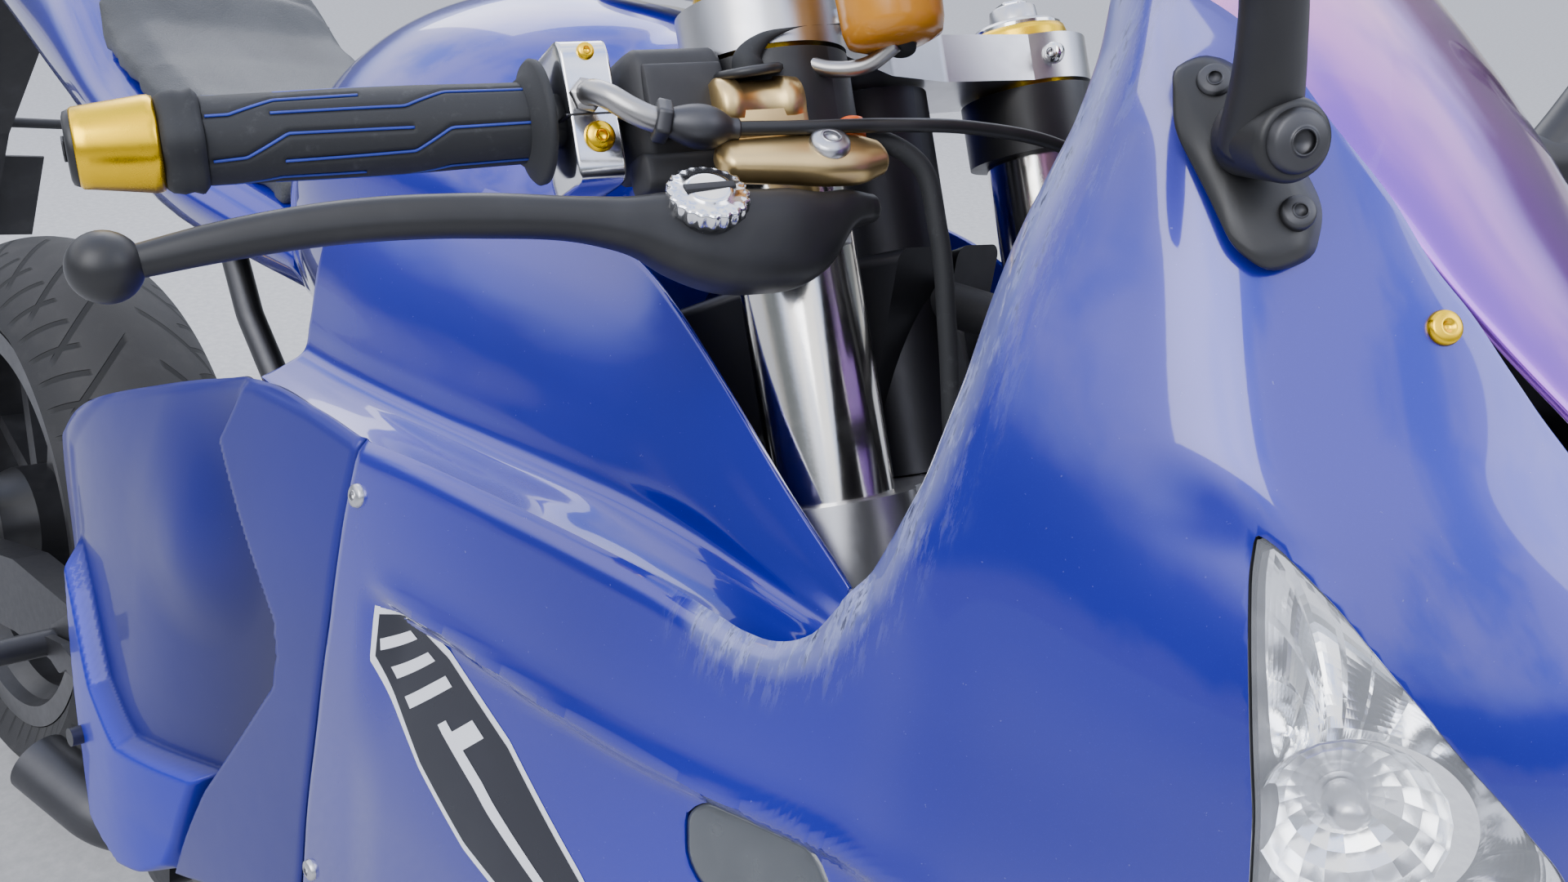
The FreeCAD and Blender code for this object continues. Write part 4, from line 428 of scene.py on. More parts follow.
class Shade:
    # A new material or world, and the one method that adds its nodes

    def __init__(self, name, kind="materials"):
        self.owner = getattr(bpy.data, kind).new(name)
        self.owner.use_nodes = True
        self.tree = self.owner.node_tree
        self.tree.nodes.clear()

    def node(self, kind, settings=None, sockets=None, output=0):
        made = self.tree.nodes.new(kind)
        for key, value in (settings or {}).items():
            if key == "stops":
                ramp = made.color_ramp
                while len(ramp.elements) < len(value):
                    ramp.elements.new(0.5)
                for element, (place, colour) in zip(ramp.elements, value):
                    element.position = place
                    element.color = (*colour, 1)
            else:
                setattr(made, key, value)
        for key, value in (sockets or {}).items():
            if value is None:
                continue
            if isinstance(value, Wire):
                self.tree.links.new(value.socket, made.inputs[key])
            elif isinstance(value, tuple) and len(value) == 3 and made.inputs[key].type == "RGBA":
                made.inputs[key].default_value = (*value, 1)
            else:
                made.inputs[key].default_value = value
        return Wire(self, made.outputs[output])

    def place(self):
        return self.node("ShaderNodeTexCoord", output="Object")

    def stretched(self, scale):
        return self.node("ShaderNodeMapping", None, {"Vector": self.place(), "Scale": scale})

    def noise(self, scale, detail=3, roughness=0.5, at=None, output="Fac"):
        return self.node("ShaderNodeTexNoise", None,
                         {"Vector": at or self.place(), "Scale": scale, "Detail": detail,
                          "Roughness": roughness}, output)

    def ramp(self, factor, stops):
        return self.node("ShaderNodeValToRGB", {"stops": stops}, {"Fac": factor})

    def mask(self, value, low, high):
        return self.node("ShaderNodeMapRange", {"interpolation_type": "SMOOTHSTEP"},
                         {"Value": value, "From Min": low, "From Max": high})

    def blend(self, factor, first, second):
        return self.node("ShaderNodeMix", {"data_type": "RGBA"},
                         {"Factor": factor, 6: first, 7: second}, 2)

    def bump(self, height, strength, distance, normal=None):
        return self.node("ShaderNodeBump", None,
                         {"Height": height, "Strength": strength, "Distance": distance,
                          "Normal": normal})

    def attribute(self, name):
        return self.node("ShaderNodeAttribute", {"attribute_name": name}, None, "Fac")

    def finish(self, shader, end="ShaderNodeOutputMaterial"):
        self.tree.links.new(shader.socket, self.tree.nodes.new(end).inputs["Surface"])
        return self.owner

    def surface(self, sockets):
        return self.finish(self.node("ShaderNodeBsdfPrincipled", None, sockets))


def paint(name, colour, dark, roughness=0.22, coat=1.0, scuffs=False, coatIor=1.62):
    # Metallic paint under lacquer: fine flakes, slow shade changes, dust and optional scuffs
    shade = Shade(name)
    flakes = shade.noise(2600, 1)
    cloud = shade.noise(3.0, 2)
    colours = shade.blend(shade.mask(cloud, 0.3, 0.7), dark, colour)
    colours = shade.blend(shade.mask(flakes, 0.62, 0.8) * 0.22, colours, (0.03, 0.05, 0.60))
    dust = shade.mask(shade.noise(420, 2, 0.7), 0.72, 0.82)
    rough = roughness + dust * 0.25 + shade.noise(60, 4) * 0.05
    inner = shade.attribute("inner")
    # Painted shade: where a piece marks a hollow, the colour turns towards a very dark blue, as
    # shade in the recess
    colours = shade.blend(shade.attribute("hollow") * 0.85, colours,
                          tuple(part * 0.22 for part in dark))
    colours = shade.blend(shade.attribute("blade") * 0.7, colours, (0.004, 0.012, 0.52))
    bare = inner
    if scuffs:
        edge = shade.attribute("edge")
        streaks = shade.noise(1, 6, 0.7, shade.stretched((260, 70, 40)))
        fine = shade.noise(1, 4, 0.6, shade.stretched((900, 300, 120)))
        band = 1 - shade.mask(edge, 6, 17)
        worn = (1 - shade.mask(edge, 1, 30)) * shade.mask(streaks, 0.46, 0.64)
        colours = shade.blend(band * 0.60 + worn * 0.55, colours, (0.24, 0.27, 0.50))
        colours = shade.blend(worn * shade.mask(fine, 0.50, 0.60) * 0.9, colours,
                              (0.02, 0.02, 0.04))
        rough = rough + worn * 0.35 + band * 0.12
        bare = inner + worn * 0.6
    colours = shade.blend(dust * 0.18, colours, (0.5, 0.52, 0.6))
    colours = shade.blend(inner, colours, (0.010, 0.010, 0.012))
    painted = 1 - bare
    return shade.surface({"Base Color": colours, "Metallic": painted * 0.28,
                          "Roughness": rough + inner * 0.3, "Coat Weight": painted * coat,
                          "Coat Roughness": 0.04, "Coat IOR": coatIor,
                          "Normal": shade.bump(flakes, 0.03, 0.0002)})


def plastic(name, colour, roughness=0.5, grain=900, depth=0.15, wear=0.5):
    # Moulded black plastic or satin paint with a fine grain and slightly paler worn places
    shade = Shade(name)
    fine = shade.noise(grain, 3, 0.6)
    broad = shade.noise(22, 4)
    pale = tuple(min(1, part * 2.2 + 0.02) for part in colour)
    colours = shade.blend(shade.mask(broad, 0.45, 0.8) * wear, colour, pale)
    rough = roughness + shade.noise(90, 3) * 0.16 - 0.08
    normal = shade.bump(fine, depth, 0.0002)
    return shade.surface({"Base Color": colours, "Roughness": rough, "Normal": normal})


def metal(name, colour, roughness=0.25, brushed=0.0, wear=0.3, grain=700):
    # Bare or anodised metal with fine marks and slow changes of polish
    shade = Shade(name)
    fine = shade.noise(grain, 3, 0.6)
    broad = shade.noise(35, 4)
    dark = tuple(part * 0.72 for part in colour)
    colours = shade.blend(shade.mask(broad, 0.35, 0.75) * wear, colour, dark)
    rough = roughness + shade.noise(140, 4, 0.7) * 0.14 - 0.05
    normal = shade.bump(fine, 0.05 + brushed, 0.0002)
    return shade.surface({"Base Color": colours, "Metallic": 1.0, "Roughness": rough,
                          "Normal": normal})


def rubber(name, colour, roughness=0.7, grain=1400):
    shade = Shade(name)
    fine = shade.noise(grain, 4, 0.7)
    dust = shade.mask(shade.noise(160, 5, 0.7), 0.55, 0.8)
    colours = shade.blend(dust * 0.25, colour, (0.12, 0.12, 0.125))
    normal = shade.bump(fine, 0.25, 0.0004)
    return shade.surface({"Base Color": colours, "Roughness": roughness, "Normal": normal})


def vinyl(name, colour):
    # Seat cover: a leathery cell pattern under a faint sheen
    shade = Shade(name)
    cells = shade.node("ShaderNodeTexVoronoi", {"feature": "DISTANCE_TO_EDGE"},
                       {"Vector": shade.place(), "Scale": 420.0})
    broad = shade.noise(14, 4)
    colours = shade.blend(shade.mask(broad, 0.3, 0.8) * 0.5, colour, (0.11, 0.115, 0.12))
    normal = shade.bump(shade.mask(cells, 0.0, 0.12), 0.35, 0.0006)
    return shade.surface({"Base Color": colours, "Roughness": 0.52, "Normal": normal})


def tyreRubber(name, joint, wide):
    # Slanted grooves cut by the angle round the wheel and the distance from its middle
    shade = Shade(name)
    axis = unit(np.array(joints[joint]["axis"]))
    ahead = unit(np.cross(axis, [0.0, 0.0, 1.0]))
    place = shade.node("ShaderNodeVectorMath", {"operation": "SUBTRACT"},
                       {0: shade.place(), 1: tuple(joints[joint]["pos_m"])})
    across, along, above = (shade.node("ShaderNodeVectorMath", {"operation": "DOT_PRODUCT"},
                                       {0: place, 1: tuple(line)}, "Value")
                            for line in (axis, ahead, np.cross(ahead, axis)))
    turn = above.math("ARCTAN2", along) * (14 / math.pi)
    away = across.math("ABSOLUTE") / wide
    other = across.math("GREATER_THAN", 0.0) * 0.5
    long = (turn + away * 1.5 + other).math("FRACT")
    short = (turn * 2 - away * 1.1 + other + 0.3).math("FRACT")
    longOpen = shade.mask((long - 0.5).math("ABSOLUTE"), 0.075, 0.055) \
        * shade.mask(away, 0.10, 0.16) * shade.mask(away, 0.80, 0.72)
    shortOpen = shade.mask((short - 0.5).math("ABSOLUTE"), 0.11, 0.08) \
        * shade.mask(away, 0.52, 0.56) * shade.mask(away, 0.92, 0.86)
    groove = longOpen.math("MAXIMUM", shortOpen)
    fine = shade.noise(900, 4, 0.7)
    dust = shade.mask(shade.noise(40, 5, 0.6), 0.45, 0.75)
    scrubbed = shade.mask(away, 0.95, 0.55)
    colours = shade.blend(scrubbed * 0.5 + dust * 0.3, (0.016, 0.016, 0.017), (0.050, 0.048, 0.046))
    # The grooves are free of scrub and dust and are also painted darker than clean rubber, as
    # painted shade in them
    colours = shade.blend(groove, colours, (0.006, 0.006, 0.006))
    normal = shade.bump(1 - groove + fine * 0.08, 0.9, 0.003)
    return shade.surface({"Base Color": colours, "Roughness": 0.72, "Normal": normal})


def iridescent(name):
    # A mirror-tinted screen whose tint runs from violet through pink to pale yellow
    shade = Shade(name)
    wave = shade.noise(1.4, 2, 0.5, shade.stretched((3.2, 3.2, 3.2)))
    height = shade.node("ShaderNodeSeparateXYZ", None, {"Vector": shade.place()}, "Z")
    band = wave * 0.6 + shade.mask(height, 0.86, 1.12) * 0.5
    colours = shade.ramp(band, [(0.15, (0.17, 0.03, 0.56)), (0.38, (0.42, 0.09, 0.72)),
                                (0.55, (0.86, 0.32, 0.72)), (0.75, (1.0, 0.82, 0.58))])
    return shade.surface({"Base Color": colours, "Metallic": 0.75, "Roughness": 0.10, "Alpha": 0.82,
                          "Coat Weight": 1.0, "Coat Roughness": 0.02})


def glass(name, colour, alpha, roughness=0.03):
    shade = Shade(name)
    haze = shade.mask(shade.noise(70, 4), 0.4, 0.8)
    return shade.surface({"Base Color": colour, "Roughness": roughness + haze * 0.06,
                          "Alpha": alpha + haze * 0.08, "Coat Weight": 0.6})


# The lacquer's colour and its darker shade
lacquer = (0.005, 0.006, 0.37), (0.003, 0.004, 0.25)
looks = {
    "blue": paint("blue lacquer", *lacquer),
    "blueScuffed": paint("blue lacquer with a worn edge", *lacquer, scuffs=True),
    "satinBlue": paint("satin blue", (0.010, 0.013, 0.24), (0.007, 0.009, 0.17), 0.40, 0.25,
                       coatIor=1.5),
    "black": plastic("satin black", (0.012, 0.012, 0.013), 0.42, 1300, 0.10),
    "blackRough": plastic("moulded black", (0.016, 0.016, 0.018), 0.6, 700, 0.25),
    "grip": rubber("grip rubber", (0.016, 0.017, 0.019)),
    "gripLine": plastic("grip line blue", (0.02, 0.04, 0.30), 0.5),
    "gold": metal("yellow gold anodised", (1.0, 0.62, 0.01), 0.26),
    "champagne": metal("champagne gold anodised", (0.80, 0.58, 0.26), 0.34),
    "amber": plastic("amber plastic", (0.55, 0.22, 0.02), 0.2, 300, 0.02),
    "bright": metal("polished alloy", (0.85, 0.85, 0.86), 0.12),
    "silver": metal("silver anodised", (0.62, 0.62, 0.64), 0.3),
    "steel": metal("plain steel", (0.42, 0.41, 0.40), 0.32),
    "darkMetal": metal("dark metal", (0.09, 0.09, 0.095), 0.45),
    "casting": metal("grey casting", (0.16, 0.16, 0.165), 0.55, 0.2),
    "frameMetal": metal("satin dark frame", (0.05, 0.05, 0.055), 0.42),
    "exhaust": metal("heat-tinted steel", (0.40, 0.35, 0.30), 0.3),
    "orange": plastic("orange fitting", (0.80, 0.12, 0.01), 0.35),
    "seat": vinyl("seat vinyl", (0.045, 0.048, 0.052)),
    "screen": iridescent("tinted screen"),
    "lens": glass("clear lens", (0.92, 0.95, 1.0), 0.16),
    "reflector": metal("lamp reflector", (0.96, 0.97, 0.99), 0.13, 0.0, 0.05),
    "dashFace": plastic("dark display glass", (0.012, 0.014, 0.018), 0.08, 300, 0.01, 0.2),
    "smoke": glass("smoked lens", (0.10, 0.11, 0.12), 0.75, 0.12),
    "redLens": glass("red lens", (0.45, 0.01, 0.01), 0.9, 0.1),
    "white": plastic("white print", (0.75, 0.76, 0.80), 0.35, 300, 0.02, 0.1),
    "blackPrint": plastic("black print", (0.012, 0.013, 0.02), 0.3, 300, 0.02, 0.1),
    "frontTyre": tyreRubber("front tyre rubber", "front_wheel_spin", 0.060),
    "rearTyre": tyreRubber("rear tyre rubber", "rear_wheel_spin", 0.095),
    "mirrorGlass": metal("mirror glass", (0.8, 0.82, 0.85), 0.02),
    "rim": plastic("satin wheel paint", (0.02, 0.02, 0.022), 0.35, 500, 0.05),
    "chain": metal("oiled chain steel", (0.30, 0.28, 0.25), 0.4, 0.1),
    "fork": metal("polished fork tube", (0.80, 0.78, 0.74), 0.12),
}
print("materials made")

# The fairing's outer form: half its width at any x and height, closed towards the nose's tip

fairing = {
    "heights": [300, 400, 520, 660, 756, 820, 880, 953, 1010],
    "stations": [900, 960, 1090, 1213, 1310],
    "halfWidths": [[190, 195, 189, 144, 96], [206, 210, 204.5, 176, 140], [215, 216, 212, 194, 178],
                   [216, 218, 215, 204, 199], [203.5, 207, 203, 193, 189], [190, 194, 192, 186, 184],
                   [180, 184, 182, 176, 175], [162, 166, 164, 158, 157], [147, 151, 149, 143, 142]],
    "tipHeights": [640, 680, 735, 800, 846, 880, 919, 953, 990, 1010],
    "tips": [1462, 1490, 1510, 1508, 1480, 1450, 1425, 1400, 1372, 1355],
    "closeFrom": 1200, "wall": 3.2, "tipFrom": (1507, 735), "tipTo": 860,
    "bottom": [(900, 300), (980, 300), (1056, 300)],
    "split": [(900, 300), (905, 420), (915, 470), (920, 516), (932, 585), (940, 646), (941, 709),
              (943, 744)],
    "shelf": [(943, 744), (989, 749), (1051, 752), (1105, 753), (1152, 752), (1183, 749),
              (1200, 748), (1215, 751), (1227, 759), (1236, 774)],
    "frontLow": [(1056, 300), (1085, 400), (1110, 520), (1168, 610), (1250, 652)],
    "joint": [(1250, 652), (1247, 690), (1241, 735), (1236, 774)],
    "rear": [(1236, 774), (1243, 788), (1250, 809), (1255, 828), (1257, 847), (1259, 867),
             (1259.5, 884), (1260, 898), (1261.5, 917), (1264, 934), (1267, 953), (1267, 976),
             (1263, 999)],
    "under": [(1250, 652), (1272, 676), (1296, 687), (1330, 681), (1386, 677), (1440, 684),
              (1485, 706)],
    "top": [(1263, 999), (1280, 1002), (1296, 997), (1318, 985), (1342, 964), (1360, 948),
            (1378, 929), (1390, 918), (1404, 903), (1419, 887), (1432, 875), (1447, 866)],
    "lamp": [(1365, 848), (1372, 845), (1392, 832), (1419, 810), (1447, 785), (1463, 768),
             (1472, 752), (1476, 734), (1470, 718), (1450, 712), (1420, 711), (1399, 713),
             (1394, 740), (1389, 764), (1378, 801), (1367, 836)],
    "signal": [(1187, 664), (1196, 674), (1250, 681), (1263, 668), (1250, 650), (1202, 638),
               (1192, 646)],
    "crease": [(940, 684), (977, 681), (1048, 681), (1116, 679), (1164, 679), (1190, 681),
               (1262, 689)],
    # heights, the x of each, rise, half width, and the heights where it fades in and out
    "ridges": [([850, 867, 892, 912, 935, 958], [1364, 1354, 1341, 1331, 1320, 1309], 2.6, 22,
                (838, 868), (985, 950)),
               ([660, 714, 744, 767, 794, 830], [1292, 1283, 1280, 1276, 1267, 1262], 1.6, 16,
                (640, 700), (850, 800))],
}


def halfWidth(x, z):
    return smoothRows(fairing["heights"], fairing["halfWidths"], fairing["stations"],
                      np.asarray(z, float), np.asarray(x, float))


def noseTip(z):
    return smooth(fairing["tipHeights"], fairing["tips"], z)


def noseTurn(x, z):
    # How far round the nose a point lies: 0 at its rear, a right angle at the tip
    share = np.clip((np.asarray(x, float) - fairing["closeFrom"])
                    / (noseTip(z) - fairing["closeFrom"]), 0, 1)
    return np.arcsin(share ** 1.6)


def lineDistance(x, z, line):
    # Distance of points from a line of (x, z) points
    line = np.asarray(line, float)
    points = np.stack([x, z], -1)
    best = np.full(points.shape[:-1], 1e9)
    for start, end in zip(line, line[1:]):
        along = end - start
        share = np.clip(((points - start) @ along) / (along @ along), 0, 1)
        gap = np.linalg.norm(points - start - share[..., None] * along, axis=-1)
        best = np.minimum(best, gap)
    return best


def fairingRelief(x, z):
    # Millimetres outside the plain form: rolled edges, the facet under the crease and the ridges
    x, z = np.asarray(x, float), np.asarray(z, float)
    out = rolledEdge(lineDistance(x, z, fairing["rear"][1:]), -8.0, 19)
    out += rolledEdge(lineDistance(x, z, fairing["shelf"]), -4.0, 9) * step(1262, 1228, x)
    out += rolledEdge(lineDistance(x, z, fairing["split"]), -1.6, 4)
    crease = np.array(fairing["crease"], float)
    below = smooth(crease[:, 0], crease[:, 1], x) - z
    fade = step(966, 1004, x) * step(1330, 1250, x)
    out += fade * 2.2 * np.exp(-(np.clip(-below, 0, 99) / 10) ** 2) * step(-30, -2, below)
    out -= fade * 9.0 * step(-1, 9, below) * step(118, 8, below)
    for heights, places, rise, wide, low, high in fairing["ridges"]:
        away = (x - smooth(heights, places, z)) / wide
        out += rise * np.exp(-away ** 2) * step(*low, z) * step(*high, z)
    return out


def fairingPoints(x, z, inset=0.0, turn=None):
    # Points of the left half's skin
    turn = noseTurn(x, z) if turn is None else turn
    y = halfWidth(x, z) * np.cos(turn) ** 1.11
    y = np.clip(y + (fairingRelief(x, z) - inset) * np.clip(np.cos(turn) * 1.6, 0, 1), 0, None)
    return np.stack([x, y, z], -1)


def spanned(left, right, low, high):
    # A grid between four edges: rows run from low to high, columns from left to right
    rows, columns = len(left), len(low)
    v = np.linspace(0, 1, rows)[:, None, None]
    u = np.linspace(0, 1, columns)[None, :, None]
    corners = (1 - u) * (1 - v) * low[0] + u * (1 - v) * low[-1] \
        + (1 - u) * v * high[0] + u * v * high[-1]
    return ((1 - u) * left[:, None] + u * right[:, None]
            + (1 - v) * low[None] + v * high[None] - corners)


def buildFairing():
    # Side panels and nose in one skin with its wall turned in, the lamps' openings cut out of it
    sharedRows, lowRows, noseRows, sideColumns, noseColumns = 30, 56, 66, 90, 96
    # Points along the nose's upper and lower edge lie closer together towards its rear
    crowding = 1.25
    shared = alongLine(fairing["joint"], sharedRows)
    joint = np.concatenate([alongLine(fairing["frontLow"], lowRows), shared[1:]])
    sideGrid = spanned(alongLine(fairing["split"], len(joint)), joint,
                       alongLine(fairing["bottom"], sideColumns),
                       alongLine(fairing["shelf"], sideColumns))
    rear = np.concatenate([shared, alongLine(fairing["rear"], noseRows)[1:]])
    low, high = fairing["tipFrom"], (noseTip(fairing["tipTo"]), fairing["tipTo"])

    def turned(line):
        return np.stack([noseTurn(line[:, 0], line[:, 1]), line[:, 1]], 1)

    under = turned(alongLine(fairing["under"] + [low], noseColumns, crowding))
    top = turned(alongLine(fairing["top"] + [high], noseColumns, crowding))
    tip = np.stack([np.full(len(rear), math.pi / 2), np.linspace(low[1], high[1], len(rear))], 1)
    under[-1, 0] = top[-1, 0] = math.pi / 2
    noseGrid = spanned(turned(rear), tip, under, top)
    turn, z = np.clip(noseGrid[..., 0], 0, math.pi / 2), noseGrid[..., 1]
    x = fairing["closeFrom"] + (noseTip(z) - fairing["closeFrom"]) * np.sin(turn) ** 0.625
    side = fairingPoints(sideGrid[..., 0], sideGrid[..., 1])
    nose = fairingPoints(x, z, 0.0, turn)
    nose[:, -1, 1] = 0
    # Distance from the edges that stand free, for the paint's wear there
    edge = np.concatenate([
        np.minimum(lineDistance(grid[..., 0], grid[..., 2], fairing["rear"]),
                   lineDistance(grid[..., 0], grid[..., 2], fairing["shelf"][5:])).ravel()
        for grid in (side, nose)])
    piece = bikePiece("fairing", mirroredSheets([(side, False), (nose, False)]), "blueScuffed",
                      merge=0.0004, marks={"edge": np.tile(edge, 2)})
    for outline in (fairing["lamp"], fairing["signal"]):
        openSheet(piece.data, roundedOutline(outline, 6))
    wallInside(piece, fairing["wall"], 0.8)
    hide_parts("upper_cowl", "side_cowls")


def insideOutline(x, z, outline):
    # Whether points lie inside a closed outline, by counting the edges that they are left of
    inside = np.zeros(np.shape(x), bool)
    for (x0, z0), (x1, z1) in zip(outline, np.roll(outline, -1, axis=0)):
        crosses = (z0 > z) != (z1 > z)
        reach = x0 + (z - z0) * (x1 - x0) / np.where(z1 == z0, 1e-9, z1 - z0)
        inside ^= crosses & (x < reach)
    return inside


def openSheet(mesh, outline):
    # An opening seen from the side: split the edges that cross its outline, drop the faces inside
    work = bmesh.new()
    work.from_mesh(mesh)
    places = toBike([vert.co for vert in work.verts])
    within = insideOutline(places[:, 0], places[:, 2], outline)
    crossing = [edge for edge in work.edges
                if within[edge.verts[0].index] != within[edge.verts[1].index]]
    made = []
    for edge in crossing:
        start, end = edge.verts
        ends = places[start.index], places[end.index]
        low, high = 0.0, 1.0
        for _ in range(14):
            middle = (low + high) / 2
            x, _, z = ends[0] + (ends[1] - ends[0]) * middle
            if bool(insideOutline(np.array(x), np.array(z), outline)) == within[start.index]:
                low = middle
            else:
                high = middle
        _, vert = bmesh.utils.edge_split(edge, start, low)
        made.append(vert)
    bmesh.ops.connect_verts(work, verts=made)
    middles = toBike([face.calc_center_median() for face in work.faces])
    inside = insideOutline(middles[:, 0], middles[:, 2], outline)
    dropped = [face for face, drop in zip(work.faces, inside) if drop]
    bmesh.ops.delete(work, geom=dropped, context="FACES")
    work.to_mesh(mesh)
    work.free()
    mesh.shade_smooth()


def roundedOutline(outline, radius, steps=5):
    # A closed outline whose corners are drawn as short arcs
    outline = np.asarray(outline, float)
    made = []
    for i, here in enumerate(outline):
        back, ahead = outline[i - 1] - here, outline[(i + 1) % len(outline)] - here
        reach = min(radius, 0.4 * np.linalg.norm(back), 0.4 * np.linalg.norm(ahead))
        start, end = here + unit(back) * reach, here + unit(ahead) * reach
        for t in np.linspace(0, 1, steps):
            made.append((1 - t) ** 2 * start + 2 * t * (1 - t) * here + t * t * end)
    return np.array(made)


buildFairing()
print("fairing built")

# Windscreen: arches across the bike, from the nose's upper edge back and up

screen = {
    # x, half width at the edge, the edge's height, the middle's height
    "arches": [(1455, 30, 864, 872), (1442, 60, 874, 889), (1416, 84, 896, 916),
               (1386, 100, 921, 945),
               (1360, 110, 944, 972), (1330, 122, 970, 1000), (1296, 132, 994, 1028),
               (1260, 130, 1008, 1055), (1200, 108, 1040, 1084), (1170, 84, 1066, 1094),
               (1152, 62, 1082, 1097)],
    "wall": 3, "count": 90,
}


def buildScreen():
    # Across an arch the height is edge + (top - edge) x (1 - share of the half width to the 2.3)
    arches = np.array(screen["arches"], float)
    lengths = pathLengths(arches[:, [0, 3]])
    count = screen["count"]
    across = np.linspace(-1, 1, count)
    grid = []
    for x, half, edge, top in smooth(lengths / lengths[-1], arches, np.linspace(0, 1, count)):
        lift = (top - edge) * (1 - np.abs(across) ** 2.3)
        grid.append(np.stack([np.full(count, x), across * half, edge + lift], 1))
    piece = bikePiece("screen", [(np.array(grid), False)], "screen")
    finishShape(piece, screen["wall"], 0.7)
    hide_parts("windscreen")


buildScreen()

# Fuel tank with its side covers, and the tail

tank = {
    # x, then (half width, height) from the middle of the top down to the lip
    "sections": [
        (628, [(0, 846), (30, 842), (52, 826), (66, 800), (62, 770), (54, 752)]),
        (645, [(0, 872), (34, 868), (62, 846), (84, 805), (84, 772), (74, 748)]),
        (690, [(0, 912), (42, 908), (82, 880), (112, 826), (110, 786), (94, 746)]),
        (760, [(0, 950), (50, 946), (108, 914), (146, 850), (138, 798), (112, 744)]),
        (830, [(0, 967), (54, 963), (116, 928), (154, 864), (146, 806), (118, 745)]),
        (890, [(0, 968), (52, 965), (112, 930), (150, 866), (142, 810), (118, 746)]),
        (950, [(0, 960), (46, 957), (98, 920), (132, 862), (126, 812), (106, 760)]),
        (990, [(0, 946), (40, 943), (80, 910), (104, 866), (98, 830), (78, 790)]),
        (1008, [(0, 926), (30, 922), (56, 898), (70, 866), (66, 842), (50, 814)]),
    ],
    # x, then (half width, height) from the cover's top edge down and out to its lip
    "cover": [
        (812, [(138, 872), (150, 838), (160, 800), (164, 766), (167, 750), (178, 743), (192, 737)]),
        (860, [(140, 866), (152, 834), (162, 798), (166, 766), (169, 750), (181, 743), (197, 737)]),
        (930, [(138, 868), (150, 836), (160, 800), (165, 768), (168, 751), (182, 744), (200, 738)]),
        (1010, [(136, 866), (147, 834), (156, 800), (161, 770), (165, 753), (180, 746), (201, 740)]),
        (1060, [(138, 856), (146, 828), (153, 798), (158, 770), (162, 754), (177, 747), (198, 741)]),
        (1087, [(142, 844), (147, 820), (152, 794), (156, 770), (159, 755), (173, 746), (194, 739)]),
        (1127, [(146, 820), (149, 802), (152, 784), (155, 768), (157, 754), (169, 745), (189, 738)]),
        (1171, [(149, 790), (151, 780), (153, 768), (155, 758), (157, 750), (167, 743), (183, 737)]),
        (1214, [(152, 764), (153, 760), (154, 756), (156, 751), (158, 746), (165, 741), (175, 736)]),
    ],
}


def sectionGrid(sections, count, points):
    # A grid through sections of (half width, height), smooth in both directions
    table = np.array([half for _, half in sections], float)
    stations = [x for x, _ in sections]
    rows = []
    for x in np.linspace(stations[0], stations[-1], count):
        knots = np.stack([smooth(stations, table[:, i], x) for i in range(table.shape[1])])
        rows.append(np.concatenate([np.full((points, 1), x), alongLine(knots, points)], 1))
    return np.array(rows)


def halfShell(sections, count, points):
    # The left half of a closed shell: its first line lies on the bike's middle plane
    grid = sectionGrid(sections, count, points)
    grid[:, 0, 1] = 0
    return grid


def closedEnd(row, share, back=0):
    # A section drawn in by a share and then to a point on its middle, back millimetres behind it
    middle = np.array([row[0, 0] - back, 0, row[:, 2].mean()])
    between = middle + (row - middle) * share - [back / 2, 0, 0]
    return np.stack([row, between, np.tile(middle, (len(row), 1))])


def buildTank():
    grid = halfShell(tank["sections"], 110, 60)
    shell = [(part, False) for part in (grid, closedEnd(grid[0], 0.5), closedEnd(grid[-1], 0.5))]
    piece = bikePiece("tankShell", mirroredSheets(shell), "blue", merge=0.0003)
    finishShape(piece, 2.5)
    cover = sectionGrid(tank["cover"], 120, 60)
    covers = bikePiece("tankCovers", mirroredSheets([(cover, False)]), "blue")
    finishShape(covers, 3, 1.0, 3)
    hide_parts("fuel_tank")


buildTank()

tail = {
    "sections": [
        (-240, [(0, 986), (12, 984), (20, 976), (26, 960), (18, 944), (12, 938)]),
        (-180, [(0, 992), (22, 990), (36, 980), (47, 955), (36, 932), (25, 920)]),
        (-60, [(0, 980), (36, 978), (56, 964), (74, 934), (60, 904), (45, 890)]),
        (100, [(0, 956), (48, 955), (74, 940), (94, 904), (80, 868), (65, 850)]),
        (250, [(0, 927), (60, 927), (88, 912), (107, 870), (98, 834), (85, 815)]),
        (380, [(0, 864), (70, 864), (102, 852), (117, 828), (108, 800), (98, 785)]),
        (500, [(0, 830), (76, 830), (110, 820), (124, 798), (114, 776), (105, 765)]),
        (664, [(0, 794), (56, 794), (80, 788), (96, 767), (86, 750), (78, 742)]),
    ],
}


def buildTail():
    grid = halfShell(tail["sections"], 120, 50)
    sheets = [(grid, False), (closedEnd(grid[0], 0.55, 6), False)]
    piece = bikePiece("tailShell", mirroredSheets(sheets), "blue", merge=0.0003)
    wallInside(piece, 3, 0.8)
    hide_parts("tail_cowl")


buildTail()
print("tank and tail built")

# Both handlebars, drawn in a frame of their own: out along the bar, forward of it, above it

outward, forward, upward = np.eye(3)


def barPiece(name, grids, look, side):
    # A piece of a handlebar from looped grids in the bar's frame, set on its side of the bike
    sheets = [(barToBike(grid, side), True) for grid in grids]
    word = "right" if side < 0 else "left"
    return bikePiece(f"{name}_{word}", sheets, look, "steering")


def turnedPart(profile, centre, axis=(1, 0, 0), sides=48):
    # A profile of (along, radius) turned about an axis, with both its ends drawn in to the axis
    profile = [(profile[0][0], 0.0)] + list(profile) + [(profile[-1][0], 0.0)]
    return lathePoints(profile, centre, axis, sides)


